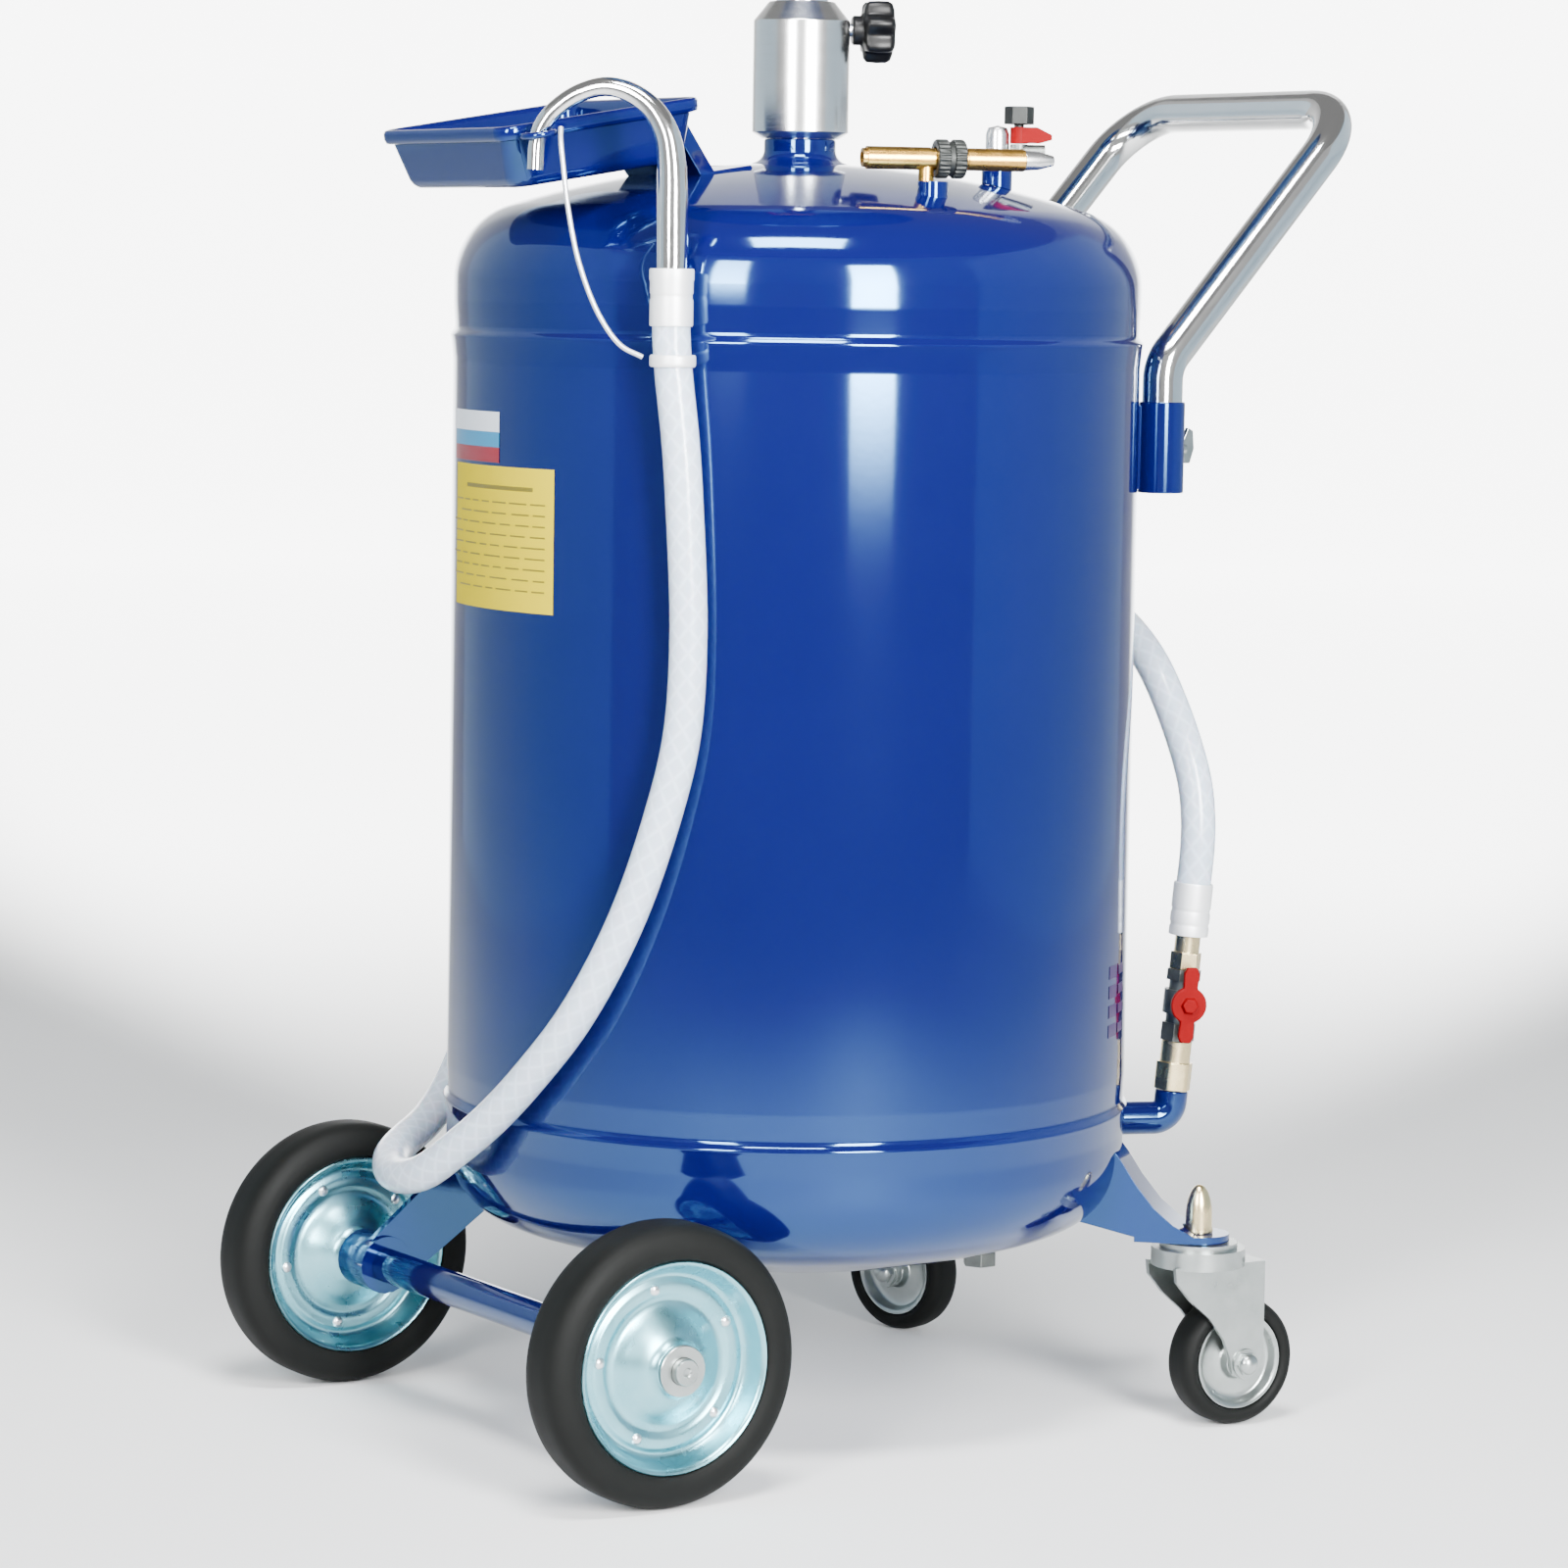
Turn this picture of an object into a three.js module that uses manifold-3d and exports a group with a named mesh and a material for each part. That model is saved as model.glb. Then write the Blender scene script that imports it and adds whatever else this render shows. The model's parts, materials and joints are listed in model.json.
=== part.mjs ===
// Mobile air-discharge waste oil drainer. Millimetres, +Z up.
// Every piece is built about the tank's own axis, with the floor at z = 0; the group is shifted at the end.
// +X points to the push handle and castors, -X to the two large wheels, -Y to the near side.
import * as THREE from "three";
import Module from "manifold-3d";

const wasm = await Module();
wasm.setup();
const { Manifold, CrossSection } = wasm;

// ---------------------------------------------------------------- sizes
const GAP = 0.3; // hairline left between welded or seated pieces

const TANK_R = 210;
const TANK_WALL = 3;
const TANK_SIDES = 40;
const KNUCKLE_R = 48;
const CROWN_R = 578;
const TOP_KNUCKLE_Z = 695.6;
const BOTTOM_KNUCKLE_Z = 166.4;
const CROWN_CENTRE_Z = 191; // centre of the top crown's sphere
const CROWN_EDGE = 17.8; // degrees from the pole to the knuckle
const TOP_SEAM_Z = 662.2;
const BOTTOM_SEAM_Z = 194.5;
const SEAM_HALF = 3.2;
const SEAM_HEIGHT = 2;

const TUBE_R = 16; // telescopic drain tube
const TUBE_WALL = 2;
const TUBE_BOTTOM_Z = 260;
const TUBE_TOP_Z = 1088;
const NECK_R = 22;
const NECK_BORE = 17;
const NECK_TOP_Z = 783.4;
const COLLAR_R = 29.5;
const COLLAR_BORE = 16.4;
const COLLAR_TOP_Z = 866.4;
const KNOB_Z = 849.9;
const KNOB_TURN = -25; // degrees about the tank from +X

const BOWL_R = 200;
const BOWL_FLOOR_Z = 1136;
const BOWL_RIM_Z = 1262;

const WHEEL_X = -206.8;
const WHEEL_Y = 190.4; // centre plane of each large wheel
const WHEEL_R = 82.5;
const AXLE_R = 8;
const AXLE_END = 220;
const AXLE_TUBE_R = 10.5;
const BRACKET_Y = 140;
const BOSS_R = 18;
const BOSS_IN = 134.5;
const BOSS_OUT = 165.5;

const CASTOR_R = 40;
const CASTOR_TRAIL = 25;
const CASTORS = [
  { side: "near", x: 187, y: -180, swing: -5 },
  { side: "far", x: 187, y: 172, swing: -75 },
];
const LEG_TOP_Z = 120.5;
const LEG_UNDER_Z = 116;

const HANDLE_R = 12.5;
const HANDLE_Y = 113;
const SOCKET_X = 195.5;
const SOCKET_R = 14.2;
const SOCKET_LOW_Z = 571;
const SOCKET_TOP_Z = 626.8;

const TRAY_X = -184; // middle of the tray's rim
const TRAY_Z = 791.2;
const TRAY_TILT = 9.3; // degrees, inner end up
const TRAY_HALF_X = 69;
const TRAY_HALF_Y = 75.5;
const TRAY_DEPTH = 34;
const RING_X = -236;
const RING_Y = -88.4;
const RING_Z = 779;

const AIR_X = -3;
const AIR_Y = -147.5;
const AIR_Z = 770.3;
const AIR_TURN = -20; // degrees about z of the fitting's axis
const RELIEF_X = 95;
const RELIEF_Y = -74;
const RELIEF_TURN = -33.2;

const OUTLET_TURN = -21.9;
const OUTLET_RHO = 248.7; // tank axis to the upright pipe's foot
const OUTLET_Z = 193;
const OUTLET_LEAN = 4.9; // degrees outward
const PIPE_Z = 175.5;

const HOSE_R = 11;

// ---------------------------------------------------------------- materials
const paint = (color, roughness) => new THREE.MeshStandardMaterial({ color, roughness, metalness: 0.1 });
const metal = (color, roughness) => new THREE.MeshStandardMaterial({ color, roughness, metalness: 1 });
const BLUE = paint(0x1a3f93, 0.25);
const BRIGHT = metal(0xd8d8d6, 0.25);
const CHROME = metal(0xe4e4e2, 0.12);
const ZINC = metal(0xb9cfd2, 0.35);
const BRASS = metal(0xc9a25a, 0.35);
const GUNMETAL = metal(0x5d6261, 0.5);
const RED = paint(0xd1182b, 0.4);
const BLACK = paint(0x1a1a1a, 0.6);
const TYRE = paint(0x262626, 0.8);
const HOSE = paint(0xc9d3dd, 0.5);

// ---------------------------------------------------------------- helpers
const group = new THREE.Group();
const RAD = Math.PI / 180;

function add(name, solid, material) {
  const m = solid.getMesh();
  const g = new THREE.BufferGeometry();
  g.setAttribute("position", new THREE.BufferAttribute(new Float32Array(m.vertProperties), 3));
  g.setIndex(new THREE.BufferAttribute(new Uint32Array(m.triVerts), 1));
  g.computeVertexNormals();
  const mesh = new THREE.Mesh(g, material);
  mesh.name = name;
  group.add(mesh);
}

// Closed (r, z) outline turned about Z.
const turn = (outline, sides) => new CrossSection([outline], "Positive").revolve(sides);
// Outline given either way round.
const lathe = (outline, sides) => turn(area(outline) > 0 ? outline : outline.slice().reverse(), sides);
const area = (p) => p.reduce((s, a, i) => s + a[0] * p[(i + 1) % p.length][1] - p[(i + 1) % p.length][0] * a[1], 0);
const rod = (r, z0, z1, sides = 24) => Manifold.cylinder(z1 - z0, r, r, sides).translate([0, 0, z0]);
const pipe = (rOut, rIn, z0, z1, sides = 24) => rod(rOut, z0, z1, sides).subtract(rod(rIn, z0 - 1, z1 + 1, sides));
const hex = (flat, z0, z1) => Manifold.cylinder(z1 - z0, flat / Math.sqrt(3), flat / Math.sqrt(3), 6).translate([0, 0, z0]);
const box = (x0, x1, y0, y1, z0, z1) => Manifold.cube([x1 - x0, y1 - y0, z1 - z0]).translate([x0, y0, z0]);
// Plate cut to an (x, z) outline and centred on y = 0.
const plate = (outline, thick) => {
  const cut = new CrossSection([area(outline) > 0 ? outline : outline.slice().reverse()], "Positive");
  return cut.extrude(thick).rotate([90, 0, 0]).translate([0, thick / 2, 0]);
};
const alongX = (solid) => solid.rotate([0, 90, 0]);
const alongY = (solid) => solid.rotate([-90, 0, 0]);

function arc(cx, cz, r, from, to, steps) {
  const out = [];
  for (let i = 0; i <= steps; i++) {
    const a = (from + ((to - from) * i) / steps) * RAD;
    out.push([cx + r * Math.sin(a), cz + r * Math.cos(a)]);
  }
  return out;
}

// Round bar along points, with a radius for each point, smoothed or straight between them.
function bar(points, radii, sides, rings = 0) {
  const at = points.map((p) => new THREE.Vector3(...p));
  const curve = new THREE.CatmullRomCurve3(at, false, "centripetal");
  const path = rings ? Array.from({ length: rings + 1 }, (_, i) => curve.getPoint(i / rings)) : at;
  const radius = path.map((_, i) => {
    const t = (i / (path.length - 1)) * (radii.length - 1);
    const k = Math.min(Math.floor(t), radii.length - 2);
    return radii.length > 1 ? radii[k] + (radii[k + 1] - radii[k]) * (t - k) : radii[0];
  });
  const verts = [];
  const tris = [];
  let side = new THREE.Vector3();
  path.forEach((p, i) => {
    const ahead = path[Math.min(i + 1, path.length - 1)].clone().sub(path[Math.max(i - 1, 0)]).normalize();
    if (i === 0) side = Math.abs(ahead.z) < 0.9 ? new THREE.Vector3(0, 0, 1) : new THREE.Vector3(1, 0, 0);
    side = side.clone().sub(ahead.clone().multiplyScalar(side.dot(ahead))).normalize();
    const up = ahead.clone().cross(side);
    for (let k = 0; k < sides; k++) {
      const a = (2 * Math.PI * k) / sides;
      const v = p.clone().addScaledVector(side, radius[i] * Math.cos(a)).addScaledVector(up, radius[i] * Math.sin(a));
      verts.push(v.x, v.y, v.z);
    }
  });
  const last = (path.length - 1) * sides;
  for (let i = 0; i < path.length - 1; i++)
    for (let k = 0; k < sides; k++) {
      const a = i * sides + k;
      const b = i * sides + ((k + 1) % sides);
      tris.push(a, b, b + sides, a, b + sides, a + sides);
    }
  for (let k = 1; k < sides - 1; k++) {
    tris.push(0, k + 1, k);
    tris.push(last, last + k, last + k + 1);
  }
  return new Manifold(
    new wasm.Mesh({ numProp: 3, vertProperties: new Float32Array(verts), triVerts: new Uint32Array(tris) }),
  );
}

// A cord: a many-sided section carried along a smooth route.
function addCord(name, points, radius, sides, steps, material) {
  const round = Array.from({ length: sides }, (_, i) => {
    const a = (2 * Math.PI * i) / sides;
    return new THREE.Vector2(radius * Math.cos(a), radius * Math.sin(a));
  });
  const route = new THREE.CatmullRomCurve3(points.map((p) => new THREE.Vector3(...p)), false, "centripetal");
  const shape = new THREE.Shape(round);
  const mesh = new THREE.Mesh(new THREE.ExtrudeGeometry(shape, { steps, extrudePath: route }), material);
  mesh.name = name;
  group.add(mesh);
}

// Points of a path whose corners are rounded, each to its own radius.
function rounded(corners, bends, steps) {
  const p = corners.map((c) => new THREE.Vector3(...c));
  const out = [p[0].toArray()];
  for (let i = 1; i < p.length - 1; i++) {
    const bend = bends[i - 1];
    const back = p[i - 1].clone().sub(p[i]).normalize();
    const on = p[i + 1].clone().sub(p[i]).normalize();
    const half = back.angleTo(on) / 2;
    const centre = p[i].clone().addScaledVector(back.clone().add(on).normalize(), bend / Math.sin(half));
    const start = p[i].clone().addScaledVector(back, bend / Math.tan(half)).sub(centre);
    const end = p[i].clone().addScaledVector(on, bend / Math.tan(half)).sub(centre);
    const sweep = start.angleTo(end);
    const axis = start.clone().cross(end).normalize();
    for (let k = 0; k <= steps; k++)
      out.push(start.clone().applyAxisAngle(axis, (sweep * k) / steps).add(centre).toArray());
  }
  out.push(p[p.length - 1].toArray());
  return out;
}

// ---------------------------------------------------------------- tank
function dish(grow, steps) {
  const crown = arc(0, CROWN_CENTRE_Z, CROWN_R + grow, 0, CROWN_EDGE, 3);
  const knuckle = arc(TANK_R - KNUCKLE_R, TOP_KNUCKLE_Z, KNUCKLE_R + grow, CROWN_EDGE, 90, steps);
  return crown.slice(0, -1).concat(knuckle);
}
const flip = (outline) => outline.map(([r, z]) => [r, TOP_KNUCKLE_Z + BOTTOM_KNUCKLE_Z - z]).reverse();
const bead = (z) => [
  [TANK_R, z + SEAM_HALF],
  [TANK_R + SEAM_HEIGHT, z],
  [TANK_R, z - SEAM_HALF],
];
const domeZ = (r) => CROWN_CENTRE_Z + Math.sqrt(CROWN_R * CROWN_R - r * r);

const outer = dish(0, 5).concat(bead(TOP_SEAM_Z), bead(BOTTOM_SEAM_Z), flip(dish(0, 5)));
const inner = dish(-TANK_WALL, 3).concat(flip(dish(-TANK_WALL, 3)));
const envelope = lathe(dish(GAP, 5).concat(flip(dish(GAP, 5))), TANK_SIDES); // keeps welded pieces a hairline off
const outletHole = alongX(rod(7, 180, 220, 16)).translate([0, 0, PIPE_Z]).rotate([0, 0, OUTLET_TURN]);
const drainHole = rod(6.3, 90, 125, 16).translate([103, -67, 0]);
const tank = lathe(outer, TANK_SIDES)
  .subtract(lathe(inner, 28))
  .subtract(rod(NECK_R + GAP, 740, 790, 32))
  .subtract(rod(5, 730, 790, 16).translate([AIR_X, AIR_Y, 0]))
  .subtract(rod(5, 730, 790, 16).translate([RELIEF_X, RELIEF_Y, 0]))
  .subtract(drainHole)
  .subtract(outletHole);
add("tank_shell", tank, BLUE);

const plug = rod(6, 96, 114, 16).add(hex(19, 88.5, 98)).translate([103, -67, 0]);
add("drain_plug", plug.subtract(rod(20, 97.6, 108, 24).subtract(rod(6, 90, 110, 16)).translate([103, -67, 0])), GUNMETAL);

// ---------------------------------------------------------------- column and drain tube
const foot = domeZ(NECK_R + 8) + 0.7;
add(
  "column_neck",
  lathe(
    [
      [NECK_BORE, 752],
      [NECK_R, 752],
      [NECK_R, foot + 0.4],
      [NECK_R + 8, foot],
      [NECK_R + 3, foot + 5],
      [NECK_R, foot + 11],
      [NECK_R, NECK_TOP_Z],
      [NECK_BORE, NECK_TOP_Z],
    ],
    24,
  ),
  BLUE,
);
const knobHole = alongX(rod(4.3, 5, 40, 16)).translate([0, 0, KNOB_Z]).rotate([0, 0, KNOB_TURN]);
add(
  "column_collar",
  lathe(
    [
      [COLLAR_BORE, NECK_TOP_Z + GAP],
      [23.5, NECK_TOP_Z + GAP],
      [COLLAR_R, NECK_TOP_Z + 4],
      [COLLAR_R, 854.6],
      [20, COLLAR_TOP_Z],
      [COLLAR_BORE, COLLAR_TOP_Z],
    ],
    28,
  ).subtract(knobHole),
  BRIGHT,
);
let knob = rod(4, 16.4, 34, 16).add(rod(9, 31, 38, 20)).add(rod(13.5, 37, 56, 20));
for (let i = 0; i < 7; i++)
  knob = knob.add(rod(6, 38, 55, 10).translate([13.5, 0, 0]).rotate([0, 0, (360 / 7) * i]));
add("clamp_knob", alongX(knob).translate([0, 0, KNOB_Z]).rotate([0, 0, KNOB_TURN]), BLACK);

add("drain_tube", pipe(TUBE_R, TUBE_R - TUBE_WALL, TUBE_BOTTOM_Z, TUBE_TOP_Z, 24), BRIGHT);
const cockLow = 1072;
const cockTop = 1124;
const cockBody = [
  [TUBE_R - TUBE_WALL, TUBE_TOP_Z + GAP],
  [TUBE_R + GAP, TUBE_TOP_Z + GAP],
  [TUBE_R + GAP, cockLow],
  [20.5, cockLow],
  [20.5, cockTop],
  [TUBE_R - TUBE_WALL, cockTop],
];
const cock = hex(44, 1091, 1099)
  .add(hex(44, 1115.5, 1122))
  .add(alongX(rod(6.5, -34, -10, 14)).translate([0, 0, 1107.3]))
  .subtract(rod(18, 1080, 1130, 24))
  .add(lathe(cockBody, 24));
add("shutoff_body", cock, BRASS);
const cockLever = alongX(hex(9, -45, -34.3))
  .add(box(-42, -38, -7, 7, -8, 10))
  .add(box(-42, -38, -6, 6, -95, 0))
  .translate([0, 0, 1107.3]);
add("shutoff_lever", cockLever, RED);
add(
  "drain_bowl",
  lathe(
    [
      [TUBE_R - TUBE_WALL, 1124.3],
      [21, 1124.3],
      [21, BOWL_FLOOR_Z],
      [190, 1192],
      [BOWL_R, 1207],
      [BOWL_R, BOWL_RIM_Z - 4],
      [BOWL_R + 4, BOWL_RIM_Z - 4],
      [BOWL_R + 4, BOWL_RIM_Z],
      [BOWL_R - 2, BOWL_RIM_Z],
      [BOWL_R - 2, 1208],
      [188.5, 1194],
      [TUBE_R - TUBE_WALL, 1138.6],
    ],
    36,
  ),
  BLUE,
);
let strainer = pipe(70, 62, 1156.8, 1158.8, 28);
for (const away of [-36, -12, 12, 36]) strainer = strainer.add(box(-66, 66, away - 1.5, away + 1.5, 1156.8, 1158.8));
for (const away of [-36, 36]) strainer = strainer.add(box(away - 1.5, away + 1.5, -66, 66, 1156.8, 1158.8));
strainer = strainer.intersect(rod(70, 1150, 1160, 28));
add("bowl_strainer", strainer, BRIGHT);

// ---------------------------------------------------------------- push handle and its sockets
const handlePath = rounded(
  [
    [SOCKET_X, -HANDLE_Y, SOCKET_LOW_Z + 7],
    [SOCKET_X, -HANDLE_Y, 650],
    [342, -HANDLE_Y, 810],
    [342, HANDLE_Y, 810],
    [SOCKET_X, HANDLE_Y, 650],
    [SOCKET_X, HANDLE_Y, SOCKET_LOW_Z + 7],
  ],
  [26, 42, 42, 26],
  5,
);
add("push_handle", bar(handlePath, [HANDLE_R], 12), CHROME);

for (const [side, y] of [["near", -HANDLE_Y], ["far", HANDLE_Y]]) {
  const toward = Math.atan2(y, SOCKET_X) / RAD;
  const web = box(195, Math.hypot(SOCKET_X, y), -5, 5, SOCKET_LOW_Z + 2, SOCKET_TOP_Z - 2).rotate([0, 0, toward]);
  const bore = rod(HANDLE_R + GAP, SOCKET_LOW_Z - 5, SOCKET_TOP_Z + 5, 24).translate([SOCKET_X, y, 0]);
  const screwHole = alongX(rod(3.3, 6, 20, 12)).translate([SOCKET_X, y, 598]);
  const socket = rod(SOCKET_R, SOCKET_LOW_Z, SOCKET_TOP_Z, 24)
    .translate([SOCKET_X, y, 0])
    .add(web)
    .subtract(bore)
    .subtract(screwHole)
    .subtract(envelope);
  add(`handle_socket_${side}`, socket, BLUE);
  const wing = plate([[15.5, 4], [19.5, 13], [23.5, 11], [24.5, 0], [21.5, -9], [17.5, -9], [15.5, -4]], 3);
  add(`clamp_screw_${side}`, alongX(rod(3, 13.1, 18.5, 12)).add(wing).translate([SOCKET_X, y, 598]), GUNMETAL);
}

// ---------------------------------------------------------------- tray
const slab = (hx, hy, r, z0, z1) =>
  CrossSection.hull(
    [[-1, -1], [1, -1], [1, 1], [-1, 1]].map(([sx, sy]) =>
      CrossSection.circle(r, 20).translate([sx * (hx - r), sy * (hy - r)]),
    ),
  )
    .extrude(z1 - z0)
    .translate([0, 0, z0]);
const tub = (shrink, floor) =>
  Manifold.hull([
    slab(TRAY_HALF_X - 4 - shrink, TRAY_HALF_Y - 4 - shrink, 9, -2, 3),
    slab(TRAY_HALF_X - 8 - shrink, TRAY_HALF_Y - 8 - shrink, 10, -TRAY_DEPTH + floor + 7, -TRAY_DEPTH + floor + 8),
    slab(TRAY_HALF_X - 12 - shrink, TRAY_HALF_Y - 12 - shrink, 10, -TRAY_DEPTH + floor, -TRAY_DEPTH + floor + 1),
  ]);
const lip = slab(TRAY_HALF_X, TRAY_HALF_Y, 12, -2.5, 2.5);
const tray = tub(0, 0)
  .subtract(box(-200, 200, -200, 200, 2.5, 10))
  .add(lip)
  .subtract(tub(2, 2).add(slab(TRAY_HALF_X - 6, TRAY_HALF_Y - 6, 9, 0, 10)))
  .rotate([0, -TRAY_TILT, 0])
  .translate([TRAY_X, 0, TRAY_Z]);
add("hook_tray", tray, BLUE);

const bracket = plate([[-119, 790], [-112, 796], [-88, 762], [-62, 766], [-60, 763], [-70, 759], [-92, 756], [-98, 760]], 84)
  .subtract(envelope)
  .subtract(tub(-GAP, -GAP).add(slab(TRAY_HALF_X + GAP, TRAY_HALF_Y, 12, -2.9, 12)).rotate([0, -TRAY_TILT, 0]).translate([TRAY_X, 0, TRAY_Z]));
add("tray_bracket", bracket, BLUE);
const ring = pipe(11, 7.5, -2, 2, 20).rotate([0, -TRAY_TILT, 0]).translate([RING_X, RING_Y, RING_Z]);
add("hook_ring", ring, BLUE);

// ---------------------------------------------------------------- axle and large wheels
const axleLine = (solid) => alongY(solid).translate([WHEEL_X, 0, WHEEL_R]);
add("axle_tube", axleLine(pipe(AXLE_TUBE_R, AXLE_R + 0.4, -BOSS_IN + GAP, BOSS_IN - GAP, 20)), BLUE);
add("axle_shaft", axleLine(rod(AXLE_R, -AXLE_END, AXLE_END, 20)), BRIGHT);

const DISC = [
  [8.3, 22], [14, 22], [17, 18], [24, 14.5], [35, 5], [50, 4], [55, 8], [58.5, 15.5], [61.8, 17.3], [60, 13.6],
  [54.5, 3],
];
const BEAD = [
  [54.9, 2.4], [60.5, 13.2], [62.6, 17.2], [69, 19.2], [76, 17.8], [80.5, 14.5], [82.5, 8],
];
const bothSides = (half) => half.concat(half.map(([r, y]) => [r, -y]).reverse());
const discSolid = lathe(bothSides(DISC), 28);
const tyreSolid = lathe(bothSides(BEAD), 28);
for (const [side, s] of [["near", -1], ["far", 1]]) {
  const set = (solid) => alongY(solid).translate([WHEEL_X, s * WHEEL_Y, WHEEL_R]);
  add(`wheel_disc_${side}`, set(discSolid), ZINC);
  add(`wheel_tyre_${side}`, set(tyreSolid), TYRE);
  const washer = pipe(15, AXLE_R + GAP, WHEEL_Y + 22.4, WHEEL_Y + 25, 20);
  add(`axle_washer_${side}`, axleLine(s > 0 ? washer : washer.mirror([0, 0, 1])), ZINC);
  const boss = pipe(BOSS_R, AXLE_R + 0.4, BOSS_IN, BOSS_OUT, 24);
  const arm = alongY(rod(BOSS_R, -2.5, 2.5, 24)).translate([WHEEL_X, s * BRACKET_Y, WHEEL_R]);
  const reach = plate([[-175, 132], [-150, 142], [-124, 128], [-124, 118]], 5).translate([0, s * BRACKET_Y, 0]);
  const legSolid = Manifold.hull([arm, reach])
    .add(axleLine(s > 0 ? boss : boss.mirror([0, 0, 1])))
    .subtract(axleLine(rod(AXLE_R + 0.4, -230, 230, 24)))
    .subtract(envelope);
  add(`axle_bracket_${side}`, legSolid, BLUE);
}

// ---------------------------------------------------------------- castors and their legs
const LEG_SIDE = [
  [183, 128], [206, 175], [213, 166], [222, 152], [234, 137], [246, 127], [258, 121], [258, LEG_UNDER_Z], [222, 119],
];
const LEG_BACK = [
  [200, 172], [206, 175], [213, 166], [222, 152], [234, 137], [246, 127], [258, 121], [252, 120], [243, 124.5],
  [231, 134], [219, 149], [209.5, 164.5],
];
const FORK_PLATE = [
  [-27, 103], [-26, 94], [-16, 82], [-2, 70], [9, 56], [14, 44], [16, 34], [25, 29], [34, 34], [37, 44], [38, 60],
  [38, 103],
];
const castorDisc = lathe(
  bothSides([[4.3, 13], [10, 13], [11, 6], [25, 4.5], [26, 9.5], [29.7, 9.5]]),
  24,
);
const castorTyre = lathe(bothSides([[30.1, 10], [34, 12.5], [37.5, 11], [40, 5]]), 24);
for (const { side, x, y, swing } of CASTORS) {
  const out = Math.hypot(x, y);
  const toward = Math.atan2(y, x) / RAD;
  const leg = plate(LEG_SIDE, 3)
    .translate([0, -17.5, 0])
    .add(plate(LEG_SIDE, 3).translate([0, 17.5, 0]))
    .add(plate(LEG_BACK, 38))
    .add(box(222, out, -19, 19, LEG_UNDER_Z, LEG_TOP_Z))
    .add(rod(19, LEG_UNDER_Z, LEG_TOP_Z, 28).translate([out, 0, 0]))
    .subtract(rod(5.3, 100, 130, 16).add(rod(10, LEG_TOP_Z, 140, 20)).translate([out, 0, 0]))
    .rotate([0, 0, toward])
    .subtract(envelope);
  add(`castor_leg_${side}`, leg, BLUE);

  const nut = lathe(
    [[0, 104], [5, 104], [5, LEG_TOP_Z + GAP], [8.2, LEG_TOP_Z + GAP], [8.2, 135], [6, 145], [0, 150]],
    16,
  );
  add(`castor_nut_${side}`, nut.translate([x, y, 0]), ZINC);

  const set = (solid) => solid.rotate([0, 0, swing]).translate([x, y, 0]);
  const axle = alongY(rod(4, -21, 21, 12).add(hex(13, 17.6, 21.5)).add(hex(13, -21.5, -17.6)));
  const fork = plate(FORK_PLATE, 3)
    .translate([0, 16, 0])
    .add(plate(FORK_PLATE, 3).translate([0, -16, 0]))
    .add(box(-20, 38, -17.5, 17.5, 99, 103))
    .add(rod(29, 101, 112, 24))
    .add(rod(24, 111, 115.5, 24))
    .subtract(rod(5.4, 90, 120, 12))
    .add(axle.translate([CASTOR_TRAIL, 0, CASTOR_R]));
  add(`castor_fork_${side}`, set(fork), ZINC);
  const wheel = (solid) => set(alongY(solid).translate([CASTOR_TRAIL, 0, CASTOR_R]));
  add(`castor_disc_${side}`, wheel(castorDisc), ZINC);
  add(`castor_tyre_${side}`, wheel(castorTyre), TYRE);
}

// ---------------------------------------------------------------- air inlet and relief valve on the dome
const stub = (r, x, y, top) =>
  pipe(r, 5, 735, top, 20)
    .translate([x, y, 0])
    .subtract(envelope);
add("air_stub", stub(9, AIR_X, AIR_Y, 757), BLUE);
add("relief_stub", stub(9.3, RELIEF_X, RELIEF_Y, 767.4), BLUE);

const airSet = (solid) => solid.rotate([0, 0, AIR_TURN]).translate([AIR_X, AIR_Y, AIR_Z]);
const airBody = alongX(rod(5.6, -43, -40, 16).add(rod(6.7, -40.5, -2.4, 20)).add(rod(6.3, -3, 20, 20)))
  .add(rod(4.6, -13.2, 0, 16).translate([-4.2, 0, 0]))
  .subtract(alongX(rod(3.5, -50, 30, 12)));
add("air_inlet_body", airSet(airBody), BRASS);
add("air_sleeve", airSet(alongX(pipe(11.5, 7, 0.9, 18.4, 24))), BLACK);
add("air_outlet_half", airSet(alongX(rod(6.6, 20.3, 55, 20).subtract(rod(3.5, 10, 60, 12)))), BRASS);
add("air_plug", airSet(alongX(lathe([[0, 50], [3.2, 50], [3.2, 55.3], [6, 55.3], [5.4, 64], [3, 73], [0, 74]], 16))), BRIGHT);

const reliefSet = (solid) => solid.rotate([0, 0, RELIEF_TURN]).translate([RELIEF_X, RELIEF_Y, 0]);
add("relief_nut", reliefSet(lathe([[0, 755], [4.7, 755], [4.7, 767.7], [7.2, 767.7], [7.2, 788], [5.8, 792], [0, 793.5]], 20)), BRIGHT);
const reliefBody = alongX(rod(6, 7.9, 29, 18))
  .add(rod(5, 0, 6.2, 18).translate([13, 0, 0]))
  .translate([0, 0, 776]);
add("relief_body", reliefSet(reliefBody), GUNMETAL);
const reliefLever = rod(5.3, 782.6, 792.5, 20)
  .translate([13, 0, 0])
  .add(plate([[12, 783], [12, 792.5], [24, 792.5], [33, 788], [33, 785], [26, 783]], 10));
add("relief_lever", reliefSet(reliefLever.subtract(rod(3.3, 780, 800, 12).translate([13, 0, 0]))), RED);
add("relief_cap", reliefSet(rod(3, 782.5, 795, 12).add(hex(16, 794.2, 805)).translate([13, 0, 0])), GUNMETAL);

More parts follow.
